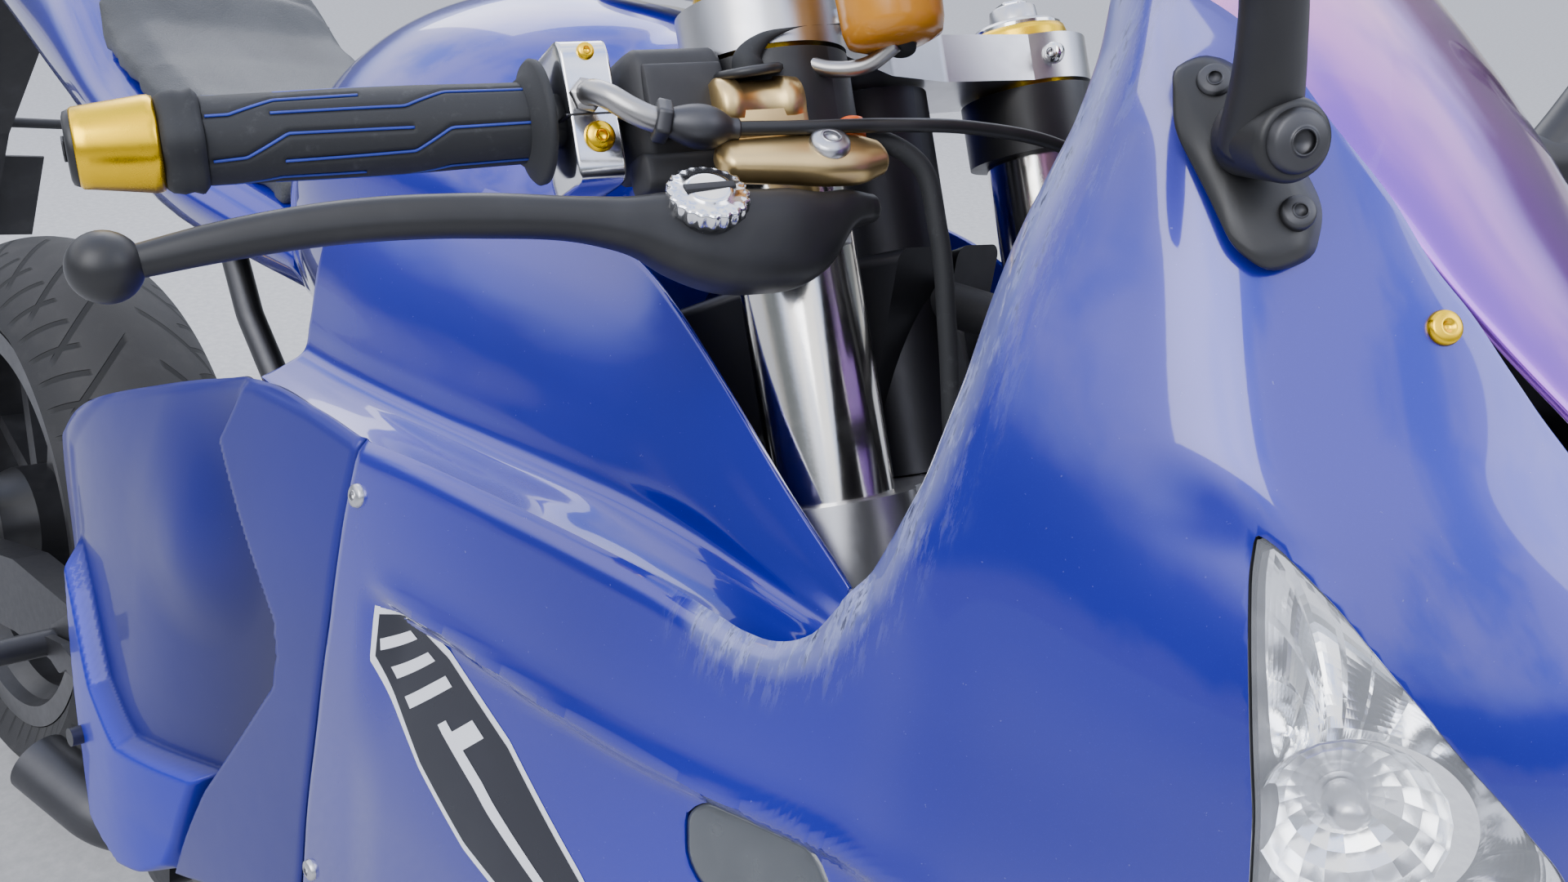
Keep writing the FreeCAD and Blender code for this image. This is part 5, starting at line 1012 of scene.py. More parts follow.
def domedScrew(centre, axis, radius, height, hollow=0.45):
    # A button head: a dome over 1.15 radians of a ball, with a socket sunk in its middle
    reach = 1.15
    dome = [(height * math.cos(t) ** 0.8, radius * math.sin(t) / math.sin(reach))
            for t in np.linspace(0, reach, 8)[2:]]
    inner = radius * hollow
    profile = [(-radius * 0.4, radius), (0, radius)] + dome[::-1][1:] \
        + [(height * 0.96, inner), (height * 0.30, inner * 0.9)]
    return turnedPart(profile, centre, axis, 28)


def hexNut(centre, axis, acrossCorners, height):
    # A nut whose six flats are chamfered at both faces
    grid = turnedPart([(0, 0.9), (0.12, 1.0), (0.88, 1.0), (1, 0.9)], (0, 0, 0), axis, 48)
    axis = unit(np.asarray(axis, float))
    along = grid @ axis
    radial = grid - along[..., None] * axis
    side = unit(np.cross(axis, offAxis))
    turn = np.arctan2(radial @ np.cross(axis, side), radial @ side)
    flat = math.cos(math.pi / 6) / np.cos((turn + math.pi / 6) % (math.pi / 3) - math.pi / 6)
    return np.asarray(centre, float) + axis * (along * height)[..., None] \
        + radial * (flat * acrossCorners / 2)[..., None]


lever = {
    # out, forward, up, half its depth, half its height, squareness
    "stations": [(-14, 44, -54, 7, 6, 2.6), (0, 48, -55, 11, 8.5, 3), (14, 50.5, -62, 14, 15, 3),
                 (26, 51.5, -64, 15.5, 19, 3), (44, 52, -64, 16, 20, 3), (62, 52, -62, 16, 19.5, 3),
                 (80, 53, -58, 14, 15.5, 3), (94, 55, -54, 10.5, 10.8, 2.8),
                 (108, 56, -51, 9, 8.8, 2.6), (150, 56.5, -45.5, 8, 7.8, 2.6),
                 (200, 54, -43.5, 7.4, 7.2, 2.6), (240, 51.5, -46.7, 6.4, 6.4, 2.4),
                 (260, 50, -49.6, 5.6, 5.6, 2.2)],
    "ball": (269, 50, -50.5), "ballRadius": 11.8, "wheel": (66, 64, -49.5), "wheelRadius": 16,
    "wheelAxis": (0.05, 0.76, 0.65),
    # millimetres along the wheel's axis, share of its radius
    "wheelProfile": [(-4, 0.8), (0, 0.96), (1, 1), (5, 1), (6, 0.97), (6.4, 0.85), (6.4, 0.62),
                     (7.6, 0.58), (8.0, 0.45)],
    "hinge": (0, 50, -33.5), "scallops": 20,
}


def ballPoints(centre, radius, sides=32):
    turns = np.linspace(0, math.pi, 18)
    return lathePoints([(-radius * math.cos(t), radius * math.sin(t)) for t in turns], centre,
                       (1, 0, 0), sides)


def buildLevers():
    # Blade and ball, the span wheel whose rim dips by 6% at each scallop, and the pivot's bolt
    blade = loftPoints(lever["stations"], outward, forward, upward, 110, 44, 0.8)
    axis = unit(np.array(lever["wheelAxis"]))
    radius, middle = lever["wheelRadius"], np.array(lever["wheel"])
    wheel = turnedPart([(along, share * radius) for along, share in lever["wheelProfile"]],
                       (0, 0, 0), axis, 120)
    rim = np.linalg.norm(wheel - (wheel @ axis)[..., None] * axis, axis=-1) > radius * 0.93
    scallop = 1 - 0.06 * (0.5 - 0.5 * np.cos(fullTurn(120) * lever["scallops"]))[None] * rim
    mark = loftPoints([(-10, 0, 0, 1.8, 0.7, 5), (10, 0, 0, 1.8, 0.7, 5)], outward,
                      unit(np.cross(outward, axis)), axis, 12, 16, 0.4)
    pivot = [domedScrew(np.array(lever["hinge"]) + [5, 0, 0] + axis * 7.2, axis, 8.6, 4.4, 0.5),
             hexNut((4, 44, -68), (0, 0, 1), 14, 6)]
    for side in bothSides:
        piece = barPiece("lever", [blade, ballPoints(lever["ball"], lever["ballRadius"])], "black",
                         side)
        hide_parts("brake_lever" if side < 0 else "clutch_lever")
        barPiece("lever_wheel", [middle + wheel * scallop[..., None]], "bright", side)
        barPiece("wheel_mark", [middle + mark + axis * 8.1], "blackRough", side)
        barPiece("lever_pivot", pivot, "silver", side)


grip = {"start": 104, "end": 231, "radius": 16.5,
        # (out, degrees above the camera's side of the grip) of each recessed line
        "lines": [[(236, 33), (222, 34), (206, 56), (176, 57)],
                  [(208, 33), (160, 33), (144, 57), (112, 57)],
                  [(233, -29), (218, -25), (203, 4), (158, 3)],
                  [(205, -33), (158, -29), (144, 0), (112, 1)]],
        "tilt": -14}


def buildGrips():
    # Barrelled rubber with recessed lines in thirds round it, blue fillings and a flange
    low, high, sides = grip["start"] + 4, grip["end"], 144
    out, turn = np.linspace(low, high, 140), fullTurn(sides)

    def barrel(at):
        return 0.7 * np.sin((at - low) / (high - low) * math.pi) ** 2

    body = np.repeat((grip["radius"] - 0.5 + barrel(out))[:, None], sides, 1)
    degrees = np.degrees(turn)[None] - grip["tilt"]
    marks = []
    for shift in (0, 120, 240):
        for line in grip["lines"]:
            line = np.array(sorted(line), float)
            inside = (out > line[0, 0]) & (out < line[-1, 0])
            middle = np.interp(out, line[:, 0], line[:, 1]) + shift
            gap = (degrees - middle[:, None] + 180) % 360 - 180
            body -= 0.9 * np.exp(-(gap / 5.0) ** 4) * inside[:, None]
            place = np.linspace(line[0, 0], line[-1, 0], 60)
            angle = np.radians(np.interp(place, line[:, 0], line[:, 1]) + shift + grip["tilt"])
            reach = grip["radius"] - 1.0 + barrel(place)
            filling = np.stack([place, reach * np.cos(angle), reach * np.sin(angle)], 1)
            marks.append(hosePoints(filling[place < high - 1], 0.55, 60, 8))
    rubberGrid = capped(np.stack([np.repeat(out[:, None], sides, 1), body * np.cos(turn),
                                  body * np.sin(turn)], -1))
    flange = lathePoints([(104, 11), (104, 22), (105, 24.6), (107, 25), (108.4, 23.6), (110, 19),
                          (113, 16.8), (113, 11)], (0, 0, 0), (1, 0, 0), 64)
    for side in bothSides:
        piece = barPiece("grip", [rubberGrid, flange], "grip", side)
        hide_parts("grips")
        barPiece("grip_line", marks, "gripLine", side)


barEnd = {"collar": [(231, 11), (231, 17), (233, 19.4), (236, 18.4), (239, 19.0), (243, 18.2),
                     (245, 16.5), (246, 11)],
          "weight": [(245.5, 16.6), (247, 17.2), (249, 17.2), (268, 14.6), (271.5, 14.2),
                     (272.5, 13.4)],
          "cap": [(270, 13.2), (272.6, 13.4), (274.4, 12.6), (275, 10.8)]}


def buildBarEnds():
    # The collar's radius swings by 5%, six times round it
    collar = lathePoints(barEnd["collar"], (0, 0, 0), (1, 0, 0), 120)
    collar[..., 1:] *= (1 + 0.05 * np.cos(fullTurn(120) * 6))[None, :, None]
    weight = turnedPart(barEnd["weight"], (0, 0, 0), sides=72)
    cap = [turnedPart(barEnd["cap"], (0, 0, 0), sides=64), hexNut((275, 0, 0), (1, 0, 0), 9, 1.2)]
    for side in bothSides:
        barPiece("bar_collar", [collar], "grip", side)
        piece = barPiece("bar_end", [weight], "gold", side)
        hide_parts("bar_ends")
        barPiece("bar_cap", cap, "black", side)


def softBlock(out, ahead, up, power=6, ends=0.22, count=24, sides=48):
    # A block with rounded corners from its ranges out, forward and up
    middle = [(low + high) / 2 for low, high in (ahead, up)]
    half = [(high - low) / 2 for low, high in (ahead, up)]
    shrink = ends * min(half)
    stations = [(place, *middle, *half, power) for place in (out[0] + shrink, out[1] - shrink)]
    return loftPoints(stations, outward, forward, upward, count, sides, ends)


controls = {
    # points (out, forward, up) of each tube
    "elbow": [(91.4, 25, 4), (90.6, 31, 3), (87, 37, -1), (81, 41, -7), (74, 43, -11.5),
              (66, 44, -14)],
    "adjuster": [(68, 44, -13.4), (54, 45.4, -16.6), (40, 47, -18.6)],
    "cable": [(42, 46.8, -18.2), (14, 51, -20.4), (-20, 55, -22.5), (-62, 59, -27),
              (-104, 61, -38), (-140, 58, -60), (-166, 48, -100), (-176, 34, -155)],
    "fluidHose": [(24, 31, 8), (23, 31.5, 14), (17, 34, 20), (5, 39, 23), (-12, 46, 22),
                  (-26, 53, 19), (-34, 58, 13), (-32, 60, 7)],
    "brakeHose": [(-12, 44, -24), (-24, 47, -27), (-38, 50, -38), (-43, 49, -66),
                  (-44, 42, -110), (-44, 32, -160), (-46, 22, -220)],
    # places along a tube and its radius there
    "adjusterRounds": ([0, 0.08, 0.8, 0.86, 1], [5.2, 6.2, 6.0, 4.8, 4.2]),
    "fluidRounds": ([0, 0.06, 0.1, 0.9, 0.94, 1], [6.4, 6.4, 5.2, 5.2, 6.2, 6.2]),
    # millimetres along, radius
    "barrel": [(0, 9), (1, 11.5), (6, 12), (10, 12), (11, 10.6), (28, 10.6), (29, 12), (36, 12),
               (38, 10)],
    # out, across, along the lever's pivot, half depth, half height, squareness
    "ears": [(-17, 0, 0, 8, 6, 2.6), (-8, 0, 0, 12, 7.4, 2.8), (6, 0, 0, 13, 7.6, 3),
             (24, 0, 0, 11, 7.2, 3), (46, 0, 0, 9, 6.6, 3)],
}


def buildThrottle():
    # The throttle's housing with its screws, and its cable round the front of the steering head
    right = -1
    piece = barPiece("throttle_housing", [softBlock((77, 100), (-19, 21), (-30, 28), 7, 0.1)],
                     "bright", right)
    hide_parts("throttle_housing")
    joint = softBlock((76.6, 100.4), (-19.5, 21.5), (-3.4, -2.2), 7, 0.1)
    barPiece("housing_joint", [joint], "darkMetal", right)
    screws = [domedScrew((88, 20.6, -12), (0, 1, -0.05), 6.4, 4.2),
              domedScrew((88, 20.6, 22), (0, 1, 0.05), 3.6, 2.2)]
    barPiece("housing_screw", screws, "gold", right)
    barPiece("cable_nut", [hexNut((91, 20, 4), (0.1, 1, -0.05), 14, 6)], "steel", right)
    barPiece("cable_elbow", [hosePoints(controls["elbow"], 5.0, 60, 28)], "steel", right)
    adjuster = [hexNut((73, 43.2, -12), (-1, 0.12, -0.30), 17, 6),
                hosePoints(controls["adjuster"], 6.0, 40, 28, controls["adjusterRounds"])]
    barPiece("cable_adjuster", adjuster, "darkMetal", right)
    barPiece("throttle_cable", [hosePoints(controls["cable"], 2.9, 120, 16)], "black", right)


def buildMounts():
    # Switch housings and the levers' mounts with their cylinders, on both sides
    lean = unit(np.array(lever["wheelAxis"]))
    ears = loftPoints(controls["ears"], outward, unit(np.cross(outward, lean)), lean, 50, 40, 0.7)
    droop = (ears @ outward)[..., None] * np.array([0, -0.10, 0.06])
    ears = ears + np.array(lever["hinge"]) + droop
    pod = [softBlock((28, 75), (-21, 27), (-27, 23), 5, 0.3),
           softBlock((30, 74), (6, 27), (-36, -20), 4, 0.3, 16),
           softBlock((34, 69), (22, 30), (-16, 14), 5, 0.3, 12)]
    button = [turnedPart([(0, 5.5), (3, 5.5), (4, 4.4)], (52, -20, -8), (0, -1, 0)),
              softBlock((40, 60), (-27, -18), (4, 11), 4, 0.4, 12)]
    seam = softBlock((27.6, 75.4), (-21.4, 27.4), (-4.6, -3.6), 5, 0.3)
    mount = [turnedPart(controls["barrel"], (4, 30, -6), sides=56),
             softBlock((2, 40), (20, 40), (-26, 0), 4, 0.35),
             softBlock((30, 45), (-17, 22), (-15, 15), 3.4, 0.2), ears]
    for side in bothSides:
        made = barPiece("switch_housing", pod, "blackRough", side)
        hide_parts("switch_pods")
        barPiece("switch_seam", [seam], "black", side)
        barPiece("switch_button", button, "grip", side)
        look = "champagne" if side < 0 else "black"
        master = barPiece("lever_mount", mount, look, side)
        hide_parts("master_cylinder" if side < 0 else "clutch_perch")


def buildHoses():
    # The hose from the reservoir, the brake hose with its banjo, and the lever's switch
    right = -1
    disc = turnedPart([(0, 13), (1.2, 14.6), (3, 14.6), (4, 13)], (24, 31, 6), (0.1, 0.2, 1), 56)
    barPiece("hose_disc", [disc], "black", right)
    fluid = hosePoints(controls["fluidHose"], 5.2, 90, 24, controls["fluidRounds"])
    barPiece("fluid_hose", [fluid], "grip", right)
    barPiece("brake_hose", [hosePoints(controls["brakeHose"], 4.2, 110, 20)], "grip", right)
    banjo = [turnedPart([(0, 5), (1, 6.4), (9, 6.4), (10, 5)], (-12, 44, -30), (0, 0, 1), 36),
             domedScrew((-12, 44, -19), (0, 0, 1), 6, 3.4)]
    barPiece("hose_banjo", banjo, "orange", right)
    barPiece("lever_switch", [softBlock((4, 22), (42, 58), (-60, -53), 3.4, 0.3, 12)],
             "blackRough", right)


def buildReservoir():
    # A translucent cup with a stepped black cap on its bracket, and the cap's ribs
    centre = (-30, 60, 0)
    cup = turnedPart([(8, 6), (8.6, 14), (11, 19.5), (16, 21), (40, 22), (46, 22)], centre,
                     (0, 0, 1), 64)
    piece = barPiece("reservoir", [cup], "amber", -1)
    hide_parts("fluid_reservoir")
    cap = lathePoints([(45, 0), (45, 23), (46, 24.4), (56, 24.4), (57.6, 23), (58.4, 18), (57.4, 17),
                       (57.4, 0)], centre, (0, 0, 1), 144)
    middle = np.array(centre)[:2]
    outer = np.linalg.norm(cap[..., :2] - middle, axis=-1, keepdims=True) > 22.8
    rib = 1 + 0.03 * np.cos(fullTurn(144) * 24)[None, :, None] * outer
    cap[..., :2] = middle + (cap[..., :2] - middle) * rib
    barPiece("reservoir_cap", [cap], "blackRough", -1)
    stay = hosePoints([(-30, 60, 9), (-22, 50, 4), (-10, 38, 6), (-2, 30, 12)], 3.4, 40, 12)
    barPiece("reservoir_stay", [stay], "steel", -1)


def steerPiece(name, grids, look):
    sheets = [(steerToBike(grid), True) for grid in grids]
    return bikePiece(name, sheets, look, "steering")


def buildForkTops():
    # Gold fork tops above polished tubes, their caps with adjusters, and the top clamp's bolts
    half, ahead = bikeSizes["forkHalf"], bikeSizes["forkOffset"]
    tops, caps, bolts = [], [], []
    for y in (-half, half):
        tops.append(lathePoints([(700, 27.2), (742, 27.2), (745, 26.2), (745, 20), (700, 20)],
                                (ahead, y, 0), (0, 0, 1), 72))
        caps.append(turnedPart([(736, 24), (746, 24.4), (749, 22.6), (749.5, 14), (752, 13.4),
                                (759, 12.6), (760, 10.8)], (ahead, y, 0), (0, 0, 1), 60))
        bolts.append(hexNut((ahead, y, 759.5), (0, 0, 1), 17, 3))
        for place in (ahead - 32, ahead + 33):
            bolts.append(domedScrew((place, y * 0.80, 724), (0, -np.sign(y), 0.05), 5.6, 3.4))
    steerPiece("fork_top", tops, "gold")
    steerPiece("fork_cap", caps, "silver")
    steerPiece("clamp_bolt", bolts, "bright")
    rings = [lathePoints([(300, 22), (300, 30), (302, 31.2), (326, 31.2), (329, 29.5),
                          (332, 27.3), (332, 22)], (ahead, y, 0), (0, 0, 1), 64)
             for y in (-half, half)]
    steerPiece("fork_seal", rings, "blackRough")


buildLevers()
buildGrips()
buildBarEnds()
buildThrottle()
buildMounts()
buildHoses()
buildReservoir()
buildForkTops()
print("handlebars built")

# The bodywork's panels, lamps, mirrors, prints and screws, in the bike's frame


def pairPiece(name, grids, look):
    # A piece of the chassis from looped grids of one side and the same grids mirrored
    return bikePiece(name, mirroredSheets([(grid, True) for grid in grids]), look)


def skinNormal(x, z):
    # The outward normal of the right panel's skin, from its slopes along x and z
    here, ahead, above = (fairingPoints(np.array(x + dx, float), np.array(z + dz, float)) * flip
                          for dx, dz in ((0.0, 0.0), (1.0, 0.0), (0.0, 1.0)))
    normal = unit(np.cross(ahead - here, above - here))
    return here, normal if normal[1] < 0 else -normal


def skinScrews(places, lift, radius, height, hollow=0.45):
    # Button heads at (x, z) places on the right panel's skin, lifted along its normal
    heads = []
    for place in places:
        here, normal = skinNormal(*place)
        heads.append(domedScrew(here + normal * lift, normal, radius, height, hollow))
    return heads


def outlineSheet(outline, rings, lift):
    # Rings from an outline to its middle; lift gives each ring's height over the skin
    edge = roundOutline(outline, 90)
    middle = edge.mean(axis=0)
    rows = []
    for share, height in zip(rings, lift):
        place = middle + (edge - middle) * share
        rows.append(fairingPoints(place[:, 0], place[:, 1], -height))
    return np.array(rows)


midPanel = {
    "heights": [290, 400, 520, 660, 756], "stations": [450, 560, 700, 830, 943],
    "halfWidths": [[150, 178, 188, 191, 194], [158, 190, 204, 207, 209.5],
                   [168, 196, 210, 213, 215.5], [172, 199, 211, 214.5, 217],
                   [158, 180, 194, 202, 205]],
    "split": [(903.5, 420), (913.5, 470), (918.5, 516), (930.5, 585), (938.5, 646), (939.6, 709),
              (941.6, 744)],
    "low": [(548, 318), (575, 303), (610, 303), (660, 320), (735, 358), (800, 390), (903.5, 420)],
    "rear": [(548, 318), (545, 430), (522, 505), (486, 572), (492, 602)],
    "top": [(492, 602), (521, 618), (600, 660), (696, 698), (770, 724), (829, 741), (890, 745),
            (941.6, 744)],
    "recess": [(829, 760), (797, 696), (832, 663), (880, 620), (884.5, 600), (880, 579), (787, 458),
               (713, 340), (690, 300), (540, 300), (540, 610), (640, 690), (700, 760)],
    "blade": [(544, 600), (548, 540), (581, 509), (619, 456), (666, 434), (766, 452), (713, 345),
              (655, 300), (556, 300), (552, 455)],
    "deep": 33, "raised": 15, "posts": [(740, 616)], "wall": 3.0, "count": 152,
    # heights between which the blade fades in from the top
    "bladeFade": (596, 540),
}


def signedDistance(x, z, outline):
    # Distance inside a closed outline, negative outside it
    gap = lineDistance(x, z, list(outline) + [outline[0]])
    return np.where(insideOutline(x, z, outline), gap, -gap)


def buildMidPanels():
    # Half width = form - recess + blade - rolled edges; the recess fades out round the posts
    count = midPanel["count"]
    grid = spanned(alongLine(midPanel["rear"], count), alongLine(midPanel["split"], count),
                   alongLine(midPanel["low"], count), alongLine(midPanel["top"], count))
    x, z = grid[..., 0], grid[..., 1]
    half = smoothRows(midPanel["heights"], midPanel["halfWidths"], midPanel["stations"], z, x)
    within = signedDistance(x, z, midPanel["recess"])
    fade = step(690, 868, x + 0.25 * (600 - z))
    depth = midPanel["deep"] * step(-2, 9, within) * (0.07 + 0.93 * fade) * step(290, 380, z) \
        * step(752, 690, z)
    for post in midPanel["posts"]:
        depth = depth * step(4, 78, np.hypot(x - post[0], z - post[1]))
    blade = signedDistance(x, z, midPanel["blade"])
    bladeFade = step(*midPanel["bladeFade"], z)
    rise = midPanel["raised"] * step(-1, 9, blade) * bladeFade
    half = half - depth + rise + rolledEdge(lineDistance(x, z, midPanel["top"]), -3.0, 8) \
        - rolledEdge(lineDistance(x, z, midPanel["split"]), 1.6, 4)
    points = np.stack([x, half, z], -1)
    # How deep the recess lies, away from the blade: the paint darkens by it, as painted shade in the
    # recess
    shaded = np.clip(depth / midPanel["deep"], 0, 1) * step(13, 6, rise)
    marks = {"blade": np.tile((step(0, 9, blade) * bladeFade).ravel(), 2),
             "hollow": np.tile(shaded.ravel(), 2)}
    made = bikePiece("mid_panels", mirroredSheets([(points, False)]), "satinBlue",
                     marks=marks)
    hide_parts("mid_panels")
    wallInside(made, midPanel["wall"])


belly = {"rear": 700, "front": [(115, 962), (160, 1000), (230, 1036), (298, 1055)],
         "stations": [700, 830, 960, 1056], "half": [188, 192, 194, 184],
         "low": [150, 134, 124, 132], "top": 298}


def buildBelly():
    # A trough: its section is a squarish half round, and its mouth slopes back to the bottom
    along, turn = np.linspace(0, 1, 60), np.linspace(0, math.pi, 96)
    u, t = np.meshgrid(along, turn, indexing="ij")
    c, s = squareRound(t, 2.7)
    top = belly["top"]
    front = np.array(belly["front"], float)
    mouth = smooth(front[:, 0], front[:, 1], top - (top - min(belly["low"])) * s)
    x = belly["rear"] + (mouth - belly["rear"]) * u
    half = smooth(belly["stations"], belly["half"], x)
    z = top - (top - smooth(belly["stations"], belly["low"], x)) * s
    made = bikePiece("belly_cowl", [(np.stack([x, half * c, z], -1), False)], "blue")
    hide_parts("belly_cowl")
    wallInside(made, 3.4, 1.0)


mudguard = {"from": 18, "to": 148, "crown": 314.5, "half": 66.5, "skirt": 44}


def buildMudguard():
    # A crowned band round the front wheel whose skirts fade towards both its ends
    first, last = mudguard["from"], mudguard["to"]
    offset, half = bikeSizes["forkOffset"], mudguard["half"]
    angle, across = np.meshgrid(np.linspace(first, last, 112), np.linspace(-1, 1, 56),
                                indexing="ij")
    ends = step(first, 52, angle) * step(last, 118, angle)
    skirt = 6 + (mudguard["skirt"] - 6) * ends
    reach = mudguard["crown"] - skirt * np.abs(across) ** 3.4
    rad = np.radians(angle)
    tuck = 1 - 0.10 * (1 - ends)
    grid = np.stack([offset + reach * np.cos(rad),
                     half * tuck * np.sin(across * math.pi / 2 * 0.94) / 0.9956,
                     reach * np.sin(rad)], -1)
    made = bikePiece("mudguard", [(steerToBike(grid), False)], "blue", "steering")
    wallInside(made, 3.0, 1.0)
    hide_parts("front_fender")
    bosses = [turnedPart([(62, 14), (63, 14), (82, 12.5), (83, 11)], (offset, 0, 286),
                         (0, side, 0), 40) for side in bothSides]
    steerPiece("mudguard_boss", bosses, "black")
    screws = [domedScrew((offset, side * 67, z), (0, side, 0), 5, 2.6)
              for side in bothSides for z in (276, 296)]
    steerPiece("mudguard_screw", screws, "silver")


bowl = {"centre": (1415, 768), "radius": 28, "facets": 20,
        "profile": [(-5, 28), (-7, 27.4), (-11, 25.4), (-16, 22), (-20, 17.6), (-23, 12.6), (-25, 8),
                    (-25.6, 5)]}


def buildLamps():
    # Clear lens let into the nose, a bright floor with a faceted round bowl behind it, a dark rim
    outline = roundedOutline(fairing["lamp"], 6)
    lens = outlineSheet(outline, np.linspace(1.0, 0, 26), [-2.6] * 26)
    made = pairPiece("lamp_lens", [lens], "lens")
    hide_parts("headlights")
    points, fluteWide = 120, 6
    edge = roundOutline(outline, points)
    middle = np.array(bowl["centre"], float)
    away = edge - middle
    circle = middle + away / np.linalg.norm(away, axis=1, keepdims=True) * bowl["radius"]
    flute = 1.6 * (np.arange(points) // fluteWide % 2)
    rows = []
    for share in np.linspace(0, 1, 22):
        place = edge * (1 - share) + circle * share
        depth = 5 + 15 * math.sin(math.pi * share) ** 0.7 + flute * min(1, 4 * share * (1 - share))
        rows.append(fairingPoints(place[:, 0], place[:, 1], depth))
    here, normal = skinNormal(*bowl["centre"])
    dish = lathePoints(bowl["profile"], here, normal, bowl["facets"])
    bulb = turnedPart([(-24, 6), (-19, 7), (-12, 6.6), (-8.5, 4.6), (-7.5, 2.5)], here, normal, 40)
    pairPiece("lamp_floor", [np.array(rows)], "reflector").data.shade_flat()
    pairPiece("lamp_bowl", [dish * flip], "reflector").data.shade_flat()
    pairPiece("lamp_bulb", [bulb * flip], "silver")
    rim = outlineSheet(outline, [1.012, 1.012, 0.985, 0.96, 0.955], [-1.2, -24, -24, -8, -3.2])
    pairPiece("lamp_rim", [rim], "black")
    signal = roundedOutline(fairing["signal"], 5)
    lens = outlineSheet(signal, [1, 0.97, 0.9, 0.6, 0.3, 0], [-2.4, -0.6, 0.2, 0.6, 0.8, 0.8])
    made = pairPiece("signal_lens", [lens], "smoke")
    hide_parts("front_signals")
    well = outlineSheet(signal, [1.02, 1.02, 0.9, 0.5, 0], [-1.2, -14, -15, -16, -16])
    pairPiece("signal_well", [well], "blackRough")
    pairPiece("signal_screw", skinScrews(((1203, 664), (1246, 664)), -1.2, 2.6, 1.8), "darkMetal")


decal = {
    "upper": [(983, 668), (1000, 674), (1036, 667), (1086, 645), (1141, 608), (1172, 583),
              (1186, 566)],
    "lower": [(983, 668), (984, 646), (1029, 610), (1069, 588), (1112, 574), (1150, 566),
              (1186, 566)],
    # (place along the band, width, from, to) of the slashes
    "bars": [(0.10, 0.028, 0.16, 0.84), (0.17, 0.028, 0.16, 0.84), (0.24, 0.028, 0.16, 0.84),
             (0.62, 0.62, 0.44, 0.56), (0.36, 0.045, 0.44, 0.84)],
}


def bandSheet(upper, lower, count, lift, start=0.0, end=1.0, low=0.0, high=1.0, slant=0.0):
    # Part of the skin between two lines, from start to end along it, as rows and columns
    u, v = np.meshgrid(np.linspace(start, end, count), np.linspace(low, high, 14), indexing="ij")
    u = np.clip(u + slant * (v - 0.5), 0, 1)

    def at(line):
        line = np.asarray(line, float)
        return alongStraight(line, u * pathLengths(line)[-1])

    place = at(lower) * (1 - v[..., None]) + at(upper) * v[..., None]
    return fairingPoints(place[..., 0], place[..., 1], -lift)


def grown(line, move):
    # A band's line moved up or down for the white edge, its two ends drawn out by 3.4
    return [(x + (3.4 if x > 1180 else -3.4 if x < 990 else 0), z + move) for x, z in line]


def buildPrints():
    # A dark band with a white edge on each side panel and plain slanted bars in it, as thin sheets
    upper, lower = decal["upper"], decal["lower"]
    sheets = {"band_edge": [bandSheet(grown(upper, 3.6), grown(lower, -3.6), 90, 0.25)],
              "band": [bandSheet(upper, lower, 90, 0.45)],
              "band_bars": [bandSheet(upper, lower, 30, 0.65, at - wide / 2, at + wide / 2, low,
                                      high, 0.07) for at, wide, low, high in decal["bars"]]}
    for name, grids in sheets.items():
        bikePiece(name, mirroredSheets([(grid, False) for grid in grids]),
                  "blackPrint" if name == "band" else "white")


def buildScrews():
    # Button heads along the panels' joint, and the screen's small gold screws
    panel = skinScrews(((953, 719), (928, 486), (1040, 322), (1140, 580)), 0, 6.2, 3.4)
    pairPiece("panel_screw", panel, "silver")
    edge = skinScrews(((1386, 913), (1316, 972)), 0.6, 5.6, 2.4, 0.35)
    pairPiece("screen_screw", edge, "gold")


mirror = {
    "foot": [(1297, 976), (1304, 981), (1315, 977), (1325, 962), (1338, 953), (1348, 941),
             (1351, 927),
             (1344, 921), (1334, 926), (1321, 941), (1305, 958)],
    "stem": [(1334, -156, 958), (1338, -172, 982), (1340, -192, 1006), (1333, -216, 1026),
             (1322, -240, 1040), (1316, -258, 1047)],
    # out, ahead, up, half its depth, half its height, squareness
    "head": [(234, 1318, 1050, 8, 18, 2.8), (248, 1318, 1051, 12, 29, 3),
             (276, 1318, 1052, 14, 37, 3.2), (312, 1318, 1052, 14, 37, 3.2),
             (340, 1318, 1051, 12, 30, 3), (355, 1318, 1049, 7, 16, 2.6)],
    "swivel": (1338, -159, 960), "swivelAxis": (0.80, -0.58, 0.05),
}


